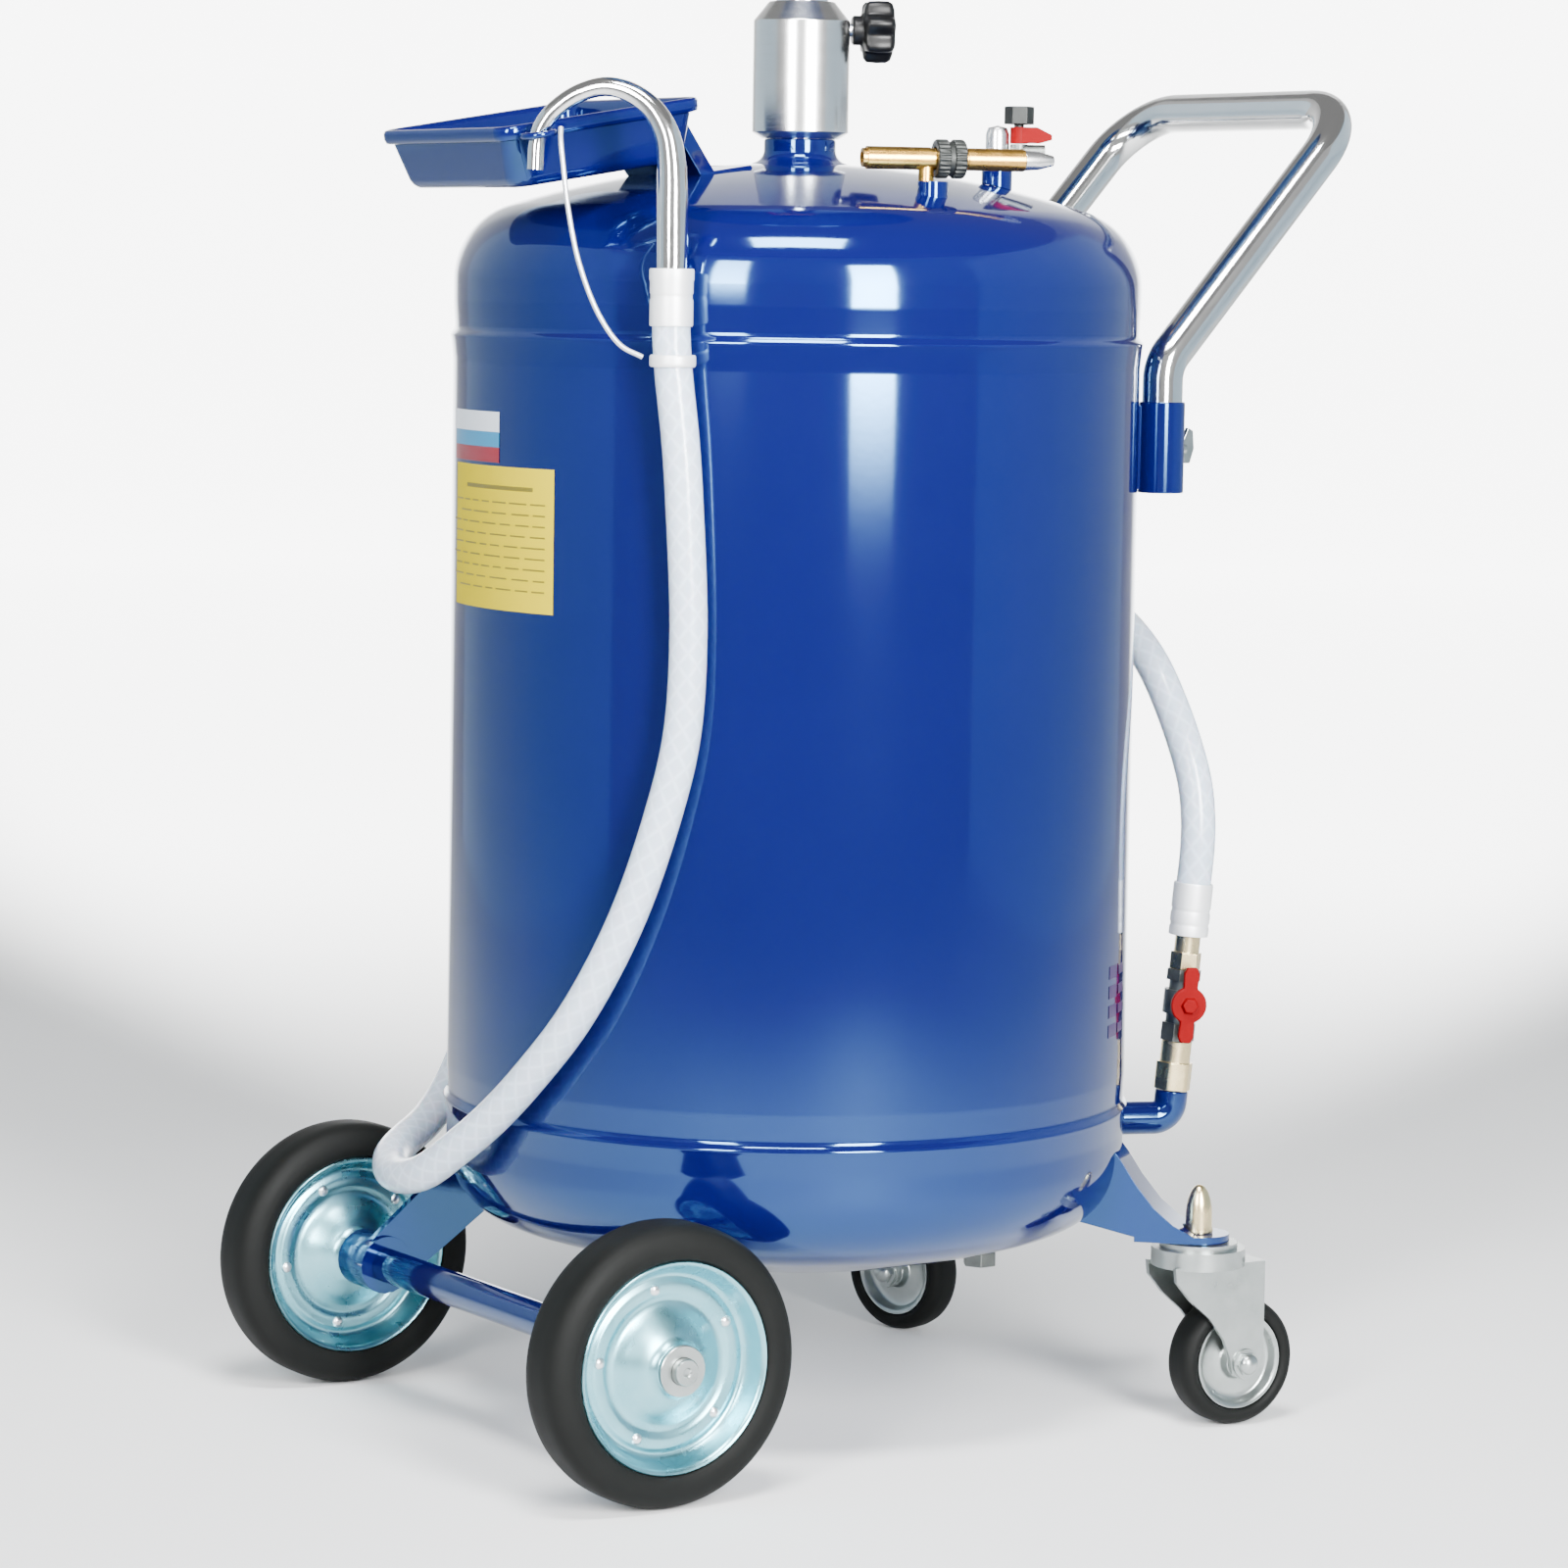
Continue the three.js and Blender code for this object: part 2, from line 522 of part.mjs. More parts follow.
// ---------------------------------------------------------------- outlet, ball valve and its lever
const outletTurn = (solid) => solid.rotate([0, 0, OUTLET_TURN]);
const elbowPath = rounded([[196, 0, PIPE_Z], [OUTLET_RHO - 1.6, 0, PIPE_Z], [OUTLET_RHO, 0, OUTLET_Z]], [11], 4);
const elbowBore = rounded([[180, 0, PIPE_Z], [OUTLET_RHO - 1.6, 0, PIPE_Z], [OUTLET_RHO + 0.2, 0, OUTLET_Z + 2]], [11], 4);
const elbow = outletTurn(bar(elbowPath, [10.5], 14)).subtract(outletTurn(bar(elbowBore, [7], 8))).subtract(envelope);
add("outlet_elbow", elbow, BLUE);

const valveSet = (solid) => outletTurn(solid.rotate([0, OUTLET_LEAN, 0]).translate([OUTLET_RHO, 0, OUTLET_Z]));
const valveBore = rod(6, -10, 130, 12);
add("outlet_coupling", valveSet(hex(21.5, 0.6, 18).intersect(rod(11.6, 0, 18, 24)).add(rod(9.6, 17, 31.5, 24)).subtract(valveBore)), BRASS);
const ballBody = hex(19, 31.8, 43)
  .add(rod(8.6, 42, 72, 20))
  .add(rod(11.2, 49, 64, 20))
  .add(hex(19, 70, 77))
  .add(alongY(rod(5.6, -15.4, 0, 14)).translate([0, 0, 56.5]))
  .subtract(valveBore);
add("valve_body", valveSet(ballBody), GUNMETAL);
add("valve_adaptor", valveSet(hex(17.5, 77.3, 88).add(rod(8, 87, 98.5, 20)).subtract(valveBore)), BRASS);
const redLever = alongY(rod(11.5, -19.6, -15.7, 24))
  .add(plate([[-4, 0], [-5, 20], [-3, 24], [3, 24], [5, 20], [4, 0]], 3.9).translate([0, -17.65, 0]))
  .add(plate([[-4, 0], [-5, -20], [-3, -24], [3, -24], [5, -20], [4, 0]], 3.9).translate([0, -17.65, 0]))
  .add(alongY(hex(9, -23, -19)))
  .translate([0, 0, 56.5]);
add("valve_lever", valveSet(redLever), RED);
add("ferrule_lower", valveSet(pipe(12.4, HOSE_R + GAP, 98.8, 132, 24)), BRIGHT);

// ---------------------------------------------------------------- hose, spout and lanyard
const HOSE_LINE = [
  [238.7, -95.9, 293], [240.2, -96.5, 312], [241.2, -97, 325], [242.6, -97.8, 343], [243.6, -97, 363],
  [243.6, -93, 386], [242.2, -83.8, 410], [240.4, -69.6, 436], [239.6, -53.6, 457], [239.6, -33, 474],
  [239, -9, 487], [232, 22, 497], [219, 54, 501], [199, 100, 499], [168, 151, 490], [118, 193, 472],
  [62, 218, 443], [8, 227, 405], [-40, 224, 355], [-74, 214, 295], [-98, 204, 242], [-118, 193, 206],
  [-140, 179, 181], [-164, 162, 166.5], [-190, 142, 159.5], [-213, 118, 155], [-227.5, 92, 151.5],
  [-234.5, 64, 152.5], [-236, 35, 160], [-232.5, 5, 177.5], [-226, -26, 200], [-218.5, -58, 229], [-206.5, -92.7, 270.6],
  [-190.5, -120, 327.6], [-177, -138, 391.5], [-169.6, -145, 437.2], [-167, -146.4, 494.9],
  [-169.8, -144.6, 570.2], [-172, -143, 606], [-175.9, -140.8, 645], [-177.3, -140, 668], [-177.4, -140, 690],
];
addCord("hose", HOSE_LINE, HOSE_R, 8, 64, HOSE);
const UPPER = [-177.4, -140, 0];
add("ferrule_upper", pipe(12.4, HOSE_R + GAP, 671.2, 691, 24).translate(UPPER).add(pipe(12.4, 9.5, 690.5, 704, 24).translate(UPPER)), BRIGHT);
const SPOUT_LINE = [
  [-177.4, -140, 690.6], [-177.6, -139.8, 730], [-178.2, -139.2, 765], [-180.6, -137, 781], [-186.5, -131, 794.5],
  [-195, -122.6, 803], [-205.5, -112.8, 806.4], [-216, -103.8, 803.4], [-225.4, -96.6, 796.6],
  [-232.6, -91.2, 787.6], [-236.4, -88.2, 777], [-237.4, -87.4, 759],
];
const spoutR = [8.9, 9.1, 9.1, 8.9, 8.2, 7, 6, 5.6, 5.3, 5.1, 5, 4.8];
const spoutBore = SPOUT_LINE.map((p) => p.slice());
spoutBore[0] = [-177.4, -140, 680];
spoutBore[spoutBore.length - 1] = [-237.6, -87.2, 755];
const spout = bar(SPOUT_LINE, spoutR, 12, 26).subtract(bar(spoutBore, spoutR.map((r) => r - 1.6), 8, 26));
add("spout", spout, CHROME);

const LANYARD_LINE = [
  [-229, -101.5, 783], [-230.5, -104, 776], [-230, -106, 762], [-227.6, -108.5, 736], [-222.6, -112.5, 706.5],
  [-213.4, -120, 677], [-203.4, -127.6, 660], [-192.6, -134, 653.5],
];
addCord("lanyard", LANYARD_LINE, 1.5, 8, 20, HOSE);
add("lanyard_clip", pipe(13.4, HOSE_R + 0.6, 648, 655, 24).translate([-176.4, -140.5, 0]), BRIGHT);

// ---------------------------------------------------------------- origin: floor, under the middle of the whole
group.position.set(-32.5, 0, 0);
export default group;
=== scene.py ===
import json
import math
import random

import bmesh
import bpy
from mathutils import Matrix, Vector


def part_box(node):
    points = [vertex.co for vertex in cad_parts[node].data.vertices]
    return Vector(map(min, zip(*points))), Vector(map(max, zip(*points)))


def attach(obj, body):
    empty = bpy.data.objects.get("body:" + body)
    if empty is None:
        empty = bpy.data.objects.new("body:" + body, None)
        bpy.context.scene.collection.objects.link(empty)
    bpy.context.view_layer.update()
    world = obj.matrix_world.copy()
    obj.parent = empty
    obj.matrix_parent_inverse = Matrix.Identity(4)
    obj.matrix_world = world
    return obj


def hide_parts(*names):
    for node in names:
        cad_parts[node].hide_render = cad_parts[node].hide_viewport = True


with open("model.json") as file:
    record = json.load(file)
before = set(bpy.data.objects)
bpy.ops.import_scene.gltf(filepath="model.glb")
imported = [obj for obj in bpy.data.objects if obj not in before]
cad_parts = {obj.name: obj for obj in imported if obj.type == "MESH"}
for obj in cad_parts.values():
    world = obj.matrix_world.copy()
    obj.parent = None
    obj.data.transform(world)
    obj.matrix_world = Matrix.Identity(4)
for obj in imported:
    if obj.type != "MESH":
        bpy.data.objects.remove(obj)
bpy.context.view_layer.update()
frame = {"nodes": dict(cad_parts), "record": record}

# A mobile waste oil drainer. Outlines and places are in millimetres from the tank's own axis and the
# floor, as in the CAD source; MM turns them into the frame's metres.
random.seed(7)
MM = 0.001
TAU = 2 * math.pi


def middle(node):
    low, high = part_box(node)
    return (low + high) / 2


AXIS = Vector((middle("tank_shell").x, 0, 0))
BODY_OF = {n: b for b, nodes in frame["record"]["behaviour"]["bodies"].items() for n in nodes}

# ------------------------------------------------------------------ sizes
TANK_R = 210
KNUCKLE_R = 48
CROWN_R = 578
TOP_KNUCKLE_Z = 695.6
BOTTOM_KNUCKLE_Z = 166.4
CROWN_CENTRE_Z = 191
CROWN_EDGE = 17.8
TOP_SEAM_Z = 662.2
BOTTOM_SEAM_Z = 194.5
NECK_TOP_Z = 783.4
COLLAR_R = 29.5
COLLAR_TOP_Z = 866.4
KNOB_Z = 849.9
KNOB_TURN = -25
TUBE_R = 16
TUBE_BORE = 14
TUBE_BOTTOM_Z = 260
TUBE_TOP_Z = 1088
SOCKET_X = 195.5
HANDLE_R = 12.5
HANDLE_Y = 113
HANDLE_END_X = 342
HANDLE_TOP_Z = 810
WHEEL_X = -206.8
WHEEL_Y = 190.4
WHEEL_R = 82.5
CASTOR_R = 40
CASTOR_TRAIL = 25
CASTORS = [("near", 187, -180, -5), ("far", 187, 172, -75)]
TRAY_X = -184
TRAY_Z = 791.2
TRAY_TILT = 9.3
RING = (-236, -88.4, 779)
AIR = (-3, -147.5, 770.3)
AIR_TURN = -20
OUTLET_TURN = -21.9
OUTLET_RHO = 248.7
OUTLET_Z = 193
OUTLET_LEAN = 4.9
PIPE_Z = 175.5
HOSE_R = 11

# ------------------------------------------------------------------ mesh helpers


def spot(x, y, z):
    """A point given in millimetres from the tank's axis, in the frame."""
    return AXIS + Vector((x, y, z)) * MM


def placed(x, y, z, *turns):
    """The matrix that puts a piece at a point after turning it: each turn is (degrees, axis)."""
    turned = Matrix.Identity(4)
    for degrees, axis in turns:
        turned = Matrix.Rotation(math.radians(degrees), 4, axis) @ turned
    return Matrix.Translation(spot(x, y, z)) @ turned


def build(name, points, faces, uvs=None, matrix=None):
    mesh = bpy.data.meshes.new(name)
    mesh.from_pydata([tuple(p) for p in points], [], faces)
    if matrix:
        mesh.transform(matrix)
    if uvs:
        layer = mesh.uv_layers.new(name="UVMap")
        for loop, uv in zip(layer.data, (uv for face in uvs for uv in face)):
            loop.uv = uv
    mesh.validate()
    piece = bpy.data.objects.new(name, mesh)
    bpy.context.scene.collection.objects.link(piece)
    fix = bmesh.new()
    fix.from_mesh(mesh)
    bmesh.ops.recalc_face_normals(fix, faces=fix.faces)
    fix.to_mesh(mesh)
    fix.free()
    return piece


def loft(name, rings, matrix=None, closed=False, caps=True):
    """Skin over rings of points in millimetres; each ring has the same count, or one point for a tip."""
    points, starts = [], []
    for ring in rings:
        starts.append(len(points))
        points += [Vector(p) * MM for p in ring]
    faces, uvs = [], []
    pairs = list(zip(range(len(rings)), range(1, len(rings))))
    if closed:
        pairs.append((len(rings) - 1, 0))
    for a, b in pairs:
        na, nb = len(rings[a]), len(rings[b])
        count = max(na, nb)
        v0, v1 = a / len(rings), (a + 1) / len(rings)
        for i in range(count):
            j = (i + 1) % count
            u0, u1 = i / count, (i + 1) / count
            quad = [
                (starts[a] + i % na, (u0, v0)),
                (starts[a] + j % na, (u1, v0)),
                (starts[b] + j % nb, (u1, v1)),
                (starts[b] + i % nb, (u0, v1)),
            ]
            if na == 1:
                del quad[1]
            if nb == 1:
                del quad[2]
            faces.append([q[0] for q in quad])
            uvs.append([q[1] for q in quad])
    if caps and not closed:
        for k in (0, len(rings) - 1):
            if len(rings[k]) > 1:
                faces.append([starts[k] + i for i in range(len(rings[k]))])
                uvs.append([(0, 0)] * len(rings[k]))
    return build(name, points, faces, uvs, matrix)


def circle(r, z, sides):
    return [(r * math.cos(TAU * i / sides), r * math.sin(TAU * i / sides), z) for i in range(sides)]


def lathe(name, outline, matrix, sides=72, closed=True):
    """An (r, z) outline in millimetres turned about z; closed joins its last point to its first."""
    rings = []
    for r, z in outline:
        if r < 1e-6:
            rings.append([(0, 0, z)])
        else:
            rings.append(circle(r, z, sides))
    return loft(name, rings, matrix, closed)


def tube(name, points, radii, sides=20):
    """A round bar along points in the frame; radii in millimetres, one or one for each point."""
    radii = radii if isinstance(radii, list) else [radii] * len(points)
    side = Vector((0, 0, 1)) if abs((points[1] - points[0]).normalized().z) < 0.9 else Vector((1, 0, 0))
    verts, faces, uvs, run = [], [], [], 0
    lengths = []
    for i, p in enumerate(points):
        ahead = (points[min(i + 1, len(points) - 1)] - points[max(i - 1, 0)]).normalized()
        side = (side - ahead * side.dot(ahead)).normalized()
        up = ahead.cross(side)
        run += (p - points[i - 1]).length if i else 0
        lengths.append(run)
        for k in range(sides):
            a = TAU * k / sides
            verts.append(p + (side * math.cos(a) + up * math.sin(a)) * radii[i] * MM)
    for i in range(len(points) - 1):
        for k in range(sides):
            j = (k + 1) % sides
            faces.append([i * sides + k, i * sides + j, (i + 1) * sides + j, (i + 1) * sides + k])
            v0, v1 = k / sides, (k + 1) / sides
            uvs.append([(lengths[i], v0), (lengths[i], v1), (lengths[i + 1], v1), (lengths[i + 1], v0)])
    last = (len(points) - 1) * sides
    faces += [list(range(sides)), list(range(last, last + sides))]
    uvs += [[(0, 0)] * sides] * 2
    return build(name, verts, faces, uvs)


def smooth_route(points, step):
    """Points every step metres along the centripetal spline through points."""
    ends = [points[0] * 2 - points[1], *points, points[-1] * 2 - points[-2]]
    fine = []
    for p0, p1, p2, p3 in zip(ends, ends[1:], ends[2:], ends[3:]):
        t1 = (p1 - p0).length ** 0.5
        t2 = t1 + (p2 - p1).length ** 0.5
        t3 = t2 + (p3 - p2).length ** 0.5
        for k in range(24):
            t = t1 + (t2 - t1) * k / 24
            a1 = p0.lerp(p1, t / t1)
            a2 = p1.lerp(p2, (t - t1) / (t2 - t1))
            a3 = p2.lerp(p3, (t - t2) / (t3 - t2))
            fine.append(a1.lerp(a2, t / t2).lerp(a2.lerp(a3, (t - t1) / (t3 - t1)), (t - t1) / (t2 - t1)))
    fine.append(points[-1])
    total = sum((b - a).length for a, b in zip(fine, fine[1:]))
    count = max(2, round(total / step))
    out, run, goal = [fine[0]], 0, total / count
    for a, b in zip(fine, fine[1:]):
        d = (b - a).length
        while d and run + d >= goal and len(out) < count:
            out.append(a.lerp(b, (goal - run) / d))
            goal += total / count
        run += d
    return out + [fine[-1]], total


def rounded(corners, bends, steps=10):
    """Corner points with each corner turned into an arc of its own radius, all in millimetres."""
    p = [Vector(c) for c in corners]
    out = [p[0]]
    for i, bend in enumerate(bends, 1):
        back, on = (p[i - 1] - p[i]).normalized(), (p[i + 1] - p[i]).normalized()
        half = back.angle(on) / 2
        centre = p[i] + (back + on).normalized() * bend / math.sin(half)
        start = p[i] + back * bend / math.tan(half) - centre
        end = p[i] + on * bend / math.tan(half) - centre
        axis, sweep = start.cross(end), start.angle(end)
        out += [centre + Matrix.Rotation(sweep * k / steps, 3, axis) @ start for k in range(steps + 1)]
    return out + [p[-1]]


def arc(cx, cz, r, first, last, steps):
    """Points on a circle in (r, z), from one angle to another, in degrees from +z towards +r."""
    angles = [math.radians(first + (last - first) * i / steps) for i in range(steps + 1)]
    return [(cx + r * math.sin(a), cz + r * math.cos(a)) for a in angles]


def soften(piece, bevel=0.0, segments=3, angle=32):
    mesh = piece.data
    mesh.polygons.foreach_set("use_smooth", [True] * len(mesh.polygons))
    mesh.set_sharp_from_angle(angle=math.radians(angle))
    if bevel:
        edge = piece.modifiers.new("edges", "BEVEL")
        edge.width = bevel * MM
        edge.segments = segments
        edge.limit_method = "ANGLE"
        edge.angle_limit = math.radians(angle)
    weigh = piece.modifiers.new("normals", "WEIGHTED_NORMAL")
    weigh.keep_sharp = not bevel


def show(piece, material, *nodes, bevel=0.0, body=None, slot=None, angle=32):
    """Gives a piece its material and its place on a body; it stands for the CAD nodes named."""
    piece.data.materials.append(material)
    soften(piece, bevel, angle=angle)
    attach(piece, body or BODY_OF[nodes[0]])
    if nodes:
        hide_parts(*nodes)
    return piece


def refine(node, material, bevel=0.5, angle=32):
    """A copy of a CAD node with rounded edges and smooth faces."""
    mesh = frame["nodes"][node].data.copy()
    mesh.materials.clear()
    work = bmesh.new()
    work.from_mesh(mesh)
    bmesh.ops.remove_doubles(work, verts=work.verts, dist=1e-5)
    bmesh.ops.dissolve_limit(work, angle_limit=math.radians(1.5), verts=work.verts, edges=work.edges)
    work.to_mesh(mesh)
    work.free()
    piece = bpy.data.objects.new(node + "_finished", mesh)
    bpy.context.scene.collection.objects.link(piece)
    return show(piece, material, node, bevel=bevel, angle=angle)


# ------------------------------------------------------------------ materials


class Nodes:
    """A short way to wire a material's nodes."""

    def __init__(self, material):
        self.tree = material.node_tree
        self.bsdf = self.tree.nodes["Principled BSDF"]

    def add(self, kind, inputs=(), **settings):
        node = self.tree.nodes.new("ShaderNode" + kind)
        for key, value in settings.items():
            setattr(node, key, value)
        for key, value in dict(inputs).items():
            if isinstance(value, bpy.types.NodeSocket):
                self.tree.links.new(value, node.inputs[key])
            else:
                node.inputs[key].default_value = value
        return node.outputs[0]

    def math(self, operation, a, b=0.0):
        return self.add("Math", {0: a, 1: b}, operation=operation)

    def noise(self, scale, stretch=(1, 1, 1), detail=4.0):
        place = self.add("TexCoord").node.outputs["Object"]
        scaled = self.add("Mapping", {"Vector": place, "Scale": stretch})
        return self.add("TexNoise", {"Vector": scaled, "Scale": scale, "Detail": detail})

    def between(self, factor, low, high):
        return self.add("MapRange", {"Value": factor, "To Min": low, "To Max": high})

    def colours(self, factor, a, b):
        mix = self.add("Mix", data_type="RGBA").node
        self.tree.links.new(factor, mix.inputs["Factor"])
        mix.inputs["A"].default_value = (*a, 1)
        mix.inputs["B"].default_value = (*b, 1)
        return mix.outputs["Result"]

    def bump(self, height, strength, distance, key="Normal"):
        normal = self.add("Bump", {"Height": height, "Strength": strength, "Distance": distance})
        self.tree.links.new(normal, self.bsdf.inputs[key])

    def drive(self, key, value):
        self.tree.links.new(value, self.bsdf.inputs[key])


def surface(name, a, b, rough, metallic=0.0, scale=40, grain=900, bump=0.1, depth=0.0001, stretch=(1, 1, 1),
            **fixed):
    """A material whose colour wanders between a and b, with matching roughness and a fine grain."""
    material = bpy.data.materials.new(name)
    material.use_nodes = True
    n = Nodes(material)
    n.bsdf.inputs["Metallic"].default_value = metallic
    for key, value in fixed.items():
        n.bsdf.inputs[key.replace("_", " ").title().replace("Ior", "IOR")].default_value = value
    drift = n.noise(scale, stretch)
    n.drive("Base Color", n.colours(drift, a, b))
    n.drive("Roughness", n.between(drift, *rough))
    n.bump(n.noise(grain, stretch, 2.0), bump, depth)
    return material, n


BLUE, _ = surface("blue_gloss_paint", (0.0022, 0.0016, 0.043), (0.0027, 0.0021, 0.049), (0.06, 0.09), scale=9,
                  grain=130, bump=0.02, depth=0.0004, specular_ior_level=1.0,
                  specular_tint=(0.24, 0.56, 1.0, 1.0), ior=1.6)
CHROME, _ = surface("chrome_plate", (0.82, 0.82, 0.81), (0.88, 0.88, 0.88), (0.07, 0.13), 1.0, scale=60,
                    grain=300, bump=0.015)
MACHINED, _ = surface("machined_steel", (0.74, 0.74, 0.73), (0.86, 0.86, 0.85), (0.16, 0.28), 1.0, scale=40,
                      grain=500, bump=0.12, depth=0.00005, stretch=(1, 1, 30))
STEEL, _ = surface("bright_steel", (0.72, 0.73, 0.74), (0.88, 0.88, 0.89), (0.2, 0.34), 1.0, scale=70,
                   bump=0.06)
ZINC, _ = surface("blue_zinc_plate", (0.13, 0.42, 0.5), (0.34, 0.64, 0.7), (0.2, 0.36), 1.0, scale=45,
                  grain=700, bump=0.08)
SATIN, _ = surface("satin_aluminium", (0.74, 0.75, 0.76), (0.86, 0.87, 0.88), (0.42, 0.52), 0.55, scale=70,
                   bump=0.06)
FORK_ZINC, _ = surface("fork_zinc_plate", (0.27, 0.3, 0.29), (0.52, 0.55, 0.54), (0.22, 0.38), 1.0, scale=60,
                       grain=700, bump=0.1)
BRASS, _ = surface("turned_brass", (0.56, 0.3, 0.05), (0.78, 0.46, 0.11), (0.2, 0.36), 1.0, scale=90,
                   bump=0.06)
PALE_BRASS, _ = surface("plated_brass", (0.74, 0.58, 0.3), (0.88, 0.74, 0.44), (0.2, 0.34), 1.0, scale=90,
                        bump=0.06)
GUNMETAL, _ = surface("gunmetal_casting", (0.1, 0.11, 0.105), (0.2, 0.215, 0.205), (0.34, 0.5), 0.9,
                      scale=130, grain=1500, bump=0.3)
DARK, _ = surface("dark_steel", (0.012, 0.013, 0.0125), (0.035, 0.038, 0.036), (0.4, 0.55), 0.7, scale=130,
                  bump=0.3)
RED, _ = surface("red_enamel", (0.12, 0.0004, 0.0016), (0.15, 0.0006, 0.002), (0.4, 0.52), scale=80,
                 bump=0.08, specular_ior_level=0.05)
BLACK, _ = surface("black_moulding", (0.0012, 0.0012, 0.0014), (0.003, 0.003, 0.0032), (0.3, 0.45), scale=120,
                   grain=2500, bump=0.3, specular_ior_level=0.25)
CABLE, _ = surface("wire_cable", (0.55, 0.57, 0.6), (0.75, 0.77, 0.8), (0.25, 0.4), 0.8, scale=400, bump=0.4)
YELLOW, _ = surface("yellow_label", (0.42, 0.33, 0.0), (0.45, 0.36, 0.0003), (0.5, 0.6), scale=60, bump=0.05,
                    specular_ior_level=0.04)
PRINT, _ = surface("label_print", (0.1, 0.08, 0.002), (0.13, 0.105, 0.003), (0.4, 0.5), scale=300, bump=0.05)
WHITE, _ = surface("white_label", (0.5, 0.54, 0.6), (0.56, 0.6, 0.65), (0.3, 0.4), scale=60, bump=0.05)
CYAN, _ = surface("cyan_label", (0.01, 0.15, 0.3), (0.015, 0.18, 0.34), (0.3, 0.4), scale=60, bump=0.05)
SCARLET, _ = surface("scarlet_label", (0.16, 0.004, 0.012), (0.19, 0.007, 0.016), (0.3, 0.4), scale=60,
                     bump=0.05)
VIOLET, _ = surface("violet_label", (0.012, 0.0025, 0.05), (0.018, 0.004, 0.065), (0.3, 0.4), scale=60,
                    bump=0.05)


def rubber():
    """Tyre rubber: dull, faintly dusty, with a moulding grain."""
    material, _ = surface("tyre_rubber", (0.003, 0.0034, 0.0032), (0.0065, 0.007, 0.0066), (0.5, 0.7),
                          scale=26, grain=1800, bump=0.25, specular_ior_level=0.1)
    return material


def braided():
    """Clear PVC over a white diagonal braid: u runs along the hose in metres, v round it."""
    material, n = surface("braided_pvc", (0.5, 0.57, 0.66), (0.56, 0.62, 0.7), (0.2, 0.3), scale=50,
                          coat_weight=0.3, coat_roughness=0.1, subsurface_weight=0.3, subsurface_scale=0.004)
    uv = n.add("UVMap", uv_map="UVMap")
    parts = n.add("SeparateXYZ", {"Vector": uv}).node
    along = n.math("MULTIPLY", parts.outputs["X"], 430.0)
    turns = n.math("MULTIPLY", parts.outputs["Y"], TAU * 6)
    right = n.math("SINE", n.math("ADD", along, turns))
    left = n.math("SINE", n.math("SUBTRACT", along, turns))
    weave = n.math("POWER", n.between(n.math("MAXIMUM", right, left), 0.0, 1.0), 3.0)
    n.drive("Base Color", n.colours(weave, (0.43, 0.5, 0.6), (0.52, 0.6, 0.7)))
    n.bump(weave, 0.12, 0.0003)
    return material


TYRE = rubber()
HOSE = braided()

# ------------------------------------------------------------------ tank
crown = arc(0, CROWN_CENTRE_Z, CROWN_R, 0, CROWN_EDGE, 12)
knuckle = arc(TANK_R - KNUCKLE_R, TOP_KNUCKLE_Z, KNUCKLE_R, CROWN_EDGE, 90, 18)
crown[0] = (0, crown[0][1])
top = crown[:-1] + knuckle
bottom = [(r, TOP_KNUCKLE_Z + BOTTOM_KNUCKLE_Z - z) for r, z in reversed(top)]


def seam(z):
    """A rolled weld: a low ridge with a small step where the dished end is set into the shell."""
    shape = ((22, 0), (19, -0.1), (6, -0.9), (4, -0.8), (2.6, 0.2), (1, 1.4), (0, 1.8), (-1, 1.7), (-3, 1.3),
             (-14, 0.1), (-17, 0))
    return [(TANK_R + lift, z + rise) for rise, lift in shape]


shell = lathe("tank_skin", top + seam(TOP_SEAM_Z) + seam(BOTTOM_SEAM_Z) + bottom, placed(0, 0, 0), 192, False)
show(shell, BLUE, "tank_shell", angle=60)
refine("drain_plug", GUNMETAL, 0.8)

# Stickers lie on the shell as thin curved sheets.


def patch(name, first, last, low, high, lift, material):
    """A sheet on the tank from one azimuth to another and one height to another, lifted off the paint."""
    count = max(2, round(abs(last - first) / 1.5))
    rings = []
    edge, face = TANK_R + 0.05, TANK_R + lift
    for z, r in ((low, edge), (low + 0.3, face), (high - 0.3, face), (high, edge)):
        angles = [math.radians(first + (last - first) * i / count) for i in range(count + 1)]
        rings.append([(r * math.cos(a), r * math.sin(a), z) for a in angles])
    points = [Vector(p) * MM for ring in rings for p in ring]
    faces = [
        [a, a + 1, a + count + 2, a + count + 1]
        for k in range(3)
        for a in range(k * (count + 1), k * (count + 1) + count)
    ]
    sheet = build(name, points, faces, None, placed(0, 0, 0))
    return show(sheet, material, body="chassis", slot="blue_paint", angle=60)


LABEL = (161.4, 195.0, 501, 586)
patch("notice_plate", *LABEL, 0.35, YELLOW)
patch("notice_heading", 168, 190, 572, 575, 0.42, PRINT)
for row in range(9):
    height = 564 - row * 6.4
    start = 193
    while start > 164:
        run = random.uniform(2.5, 6)
        patch(f"notice_line_{row}_{round(start)}", start - run, start, height, height + 1.5, 0.4, PRINT)
        start -= run + random.uniform(0.8, 1.6)
patch("sticker_top", 160, 180.5, 606, 618, 0.3, WHITE)
patch("sticker_middle", 160, 180.5, 597, 606, 0.3, CYAN)
patch("sticker_bottom", 160, 180.5, 588, 597, 0.3, SCARLET)
for k, z in enumerate((244, 256, 268, 280)):
    patch(f"side_mark_{k}", -55, -50.8, z, z + 8, 0.3, VIOLET)
    patch(f"side_mark_edge_{k}", -49.6, -46, z + 1, z + 7, 0.3, VIOLET)

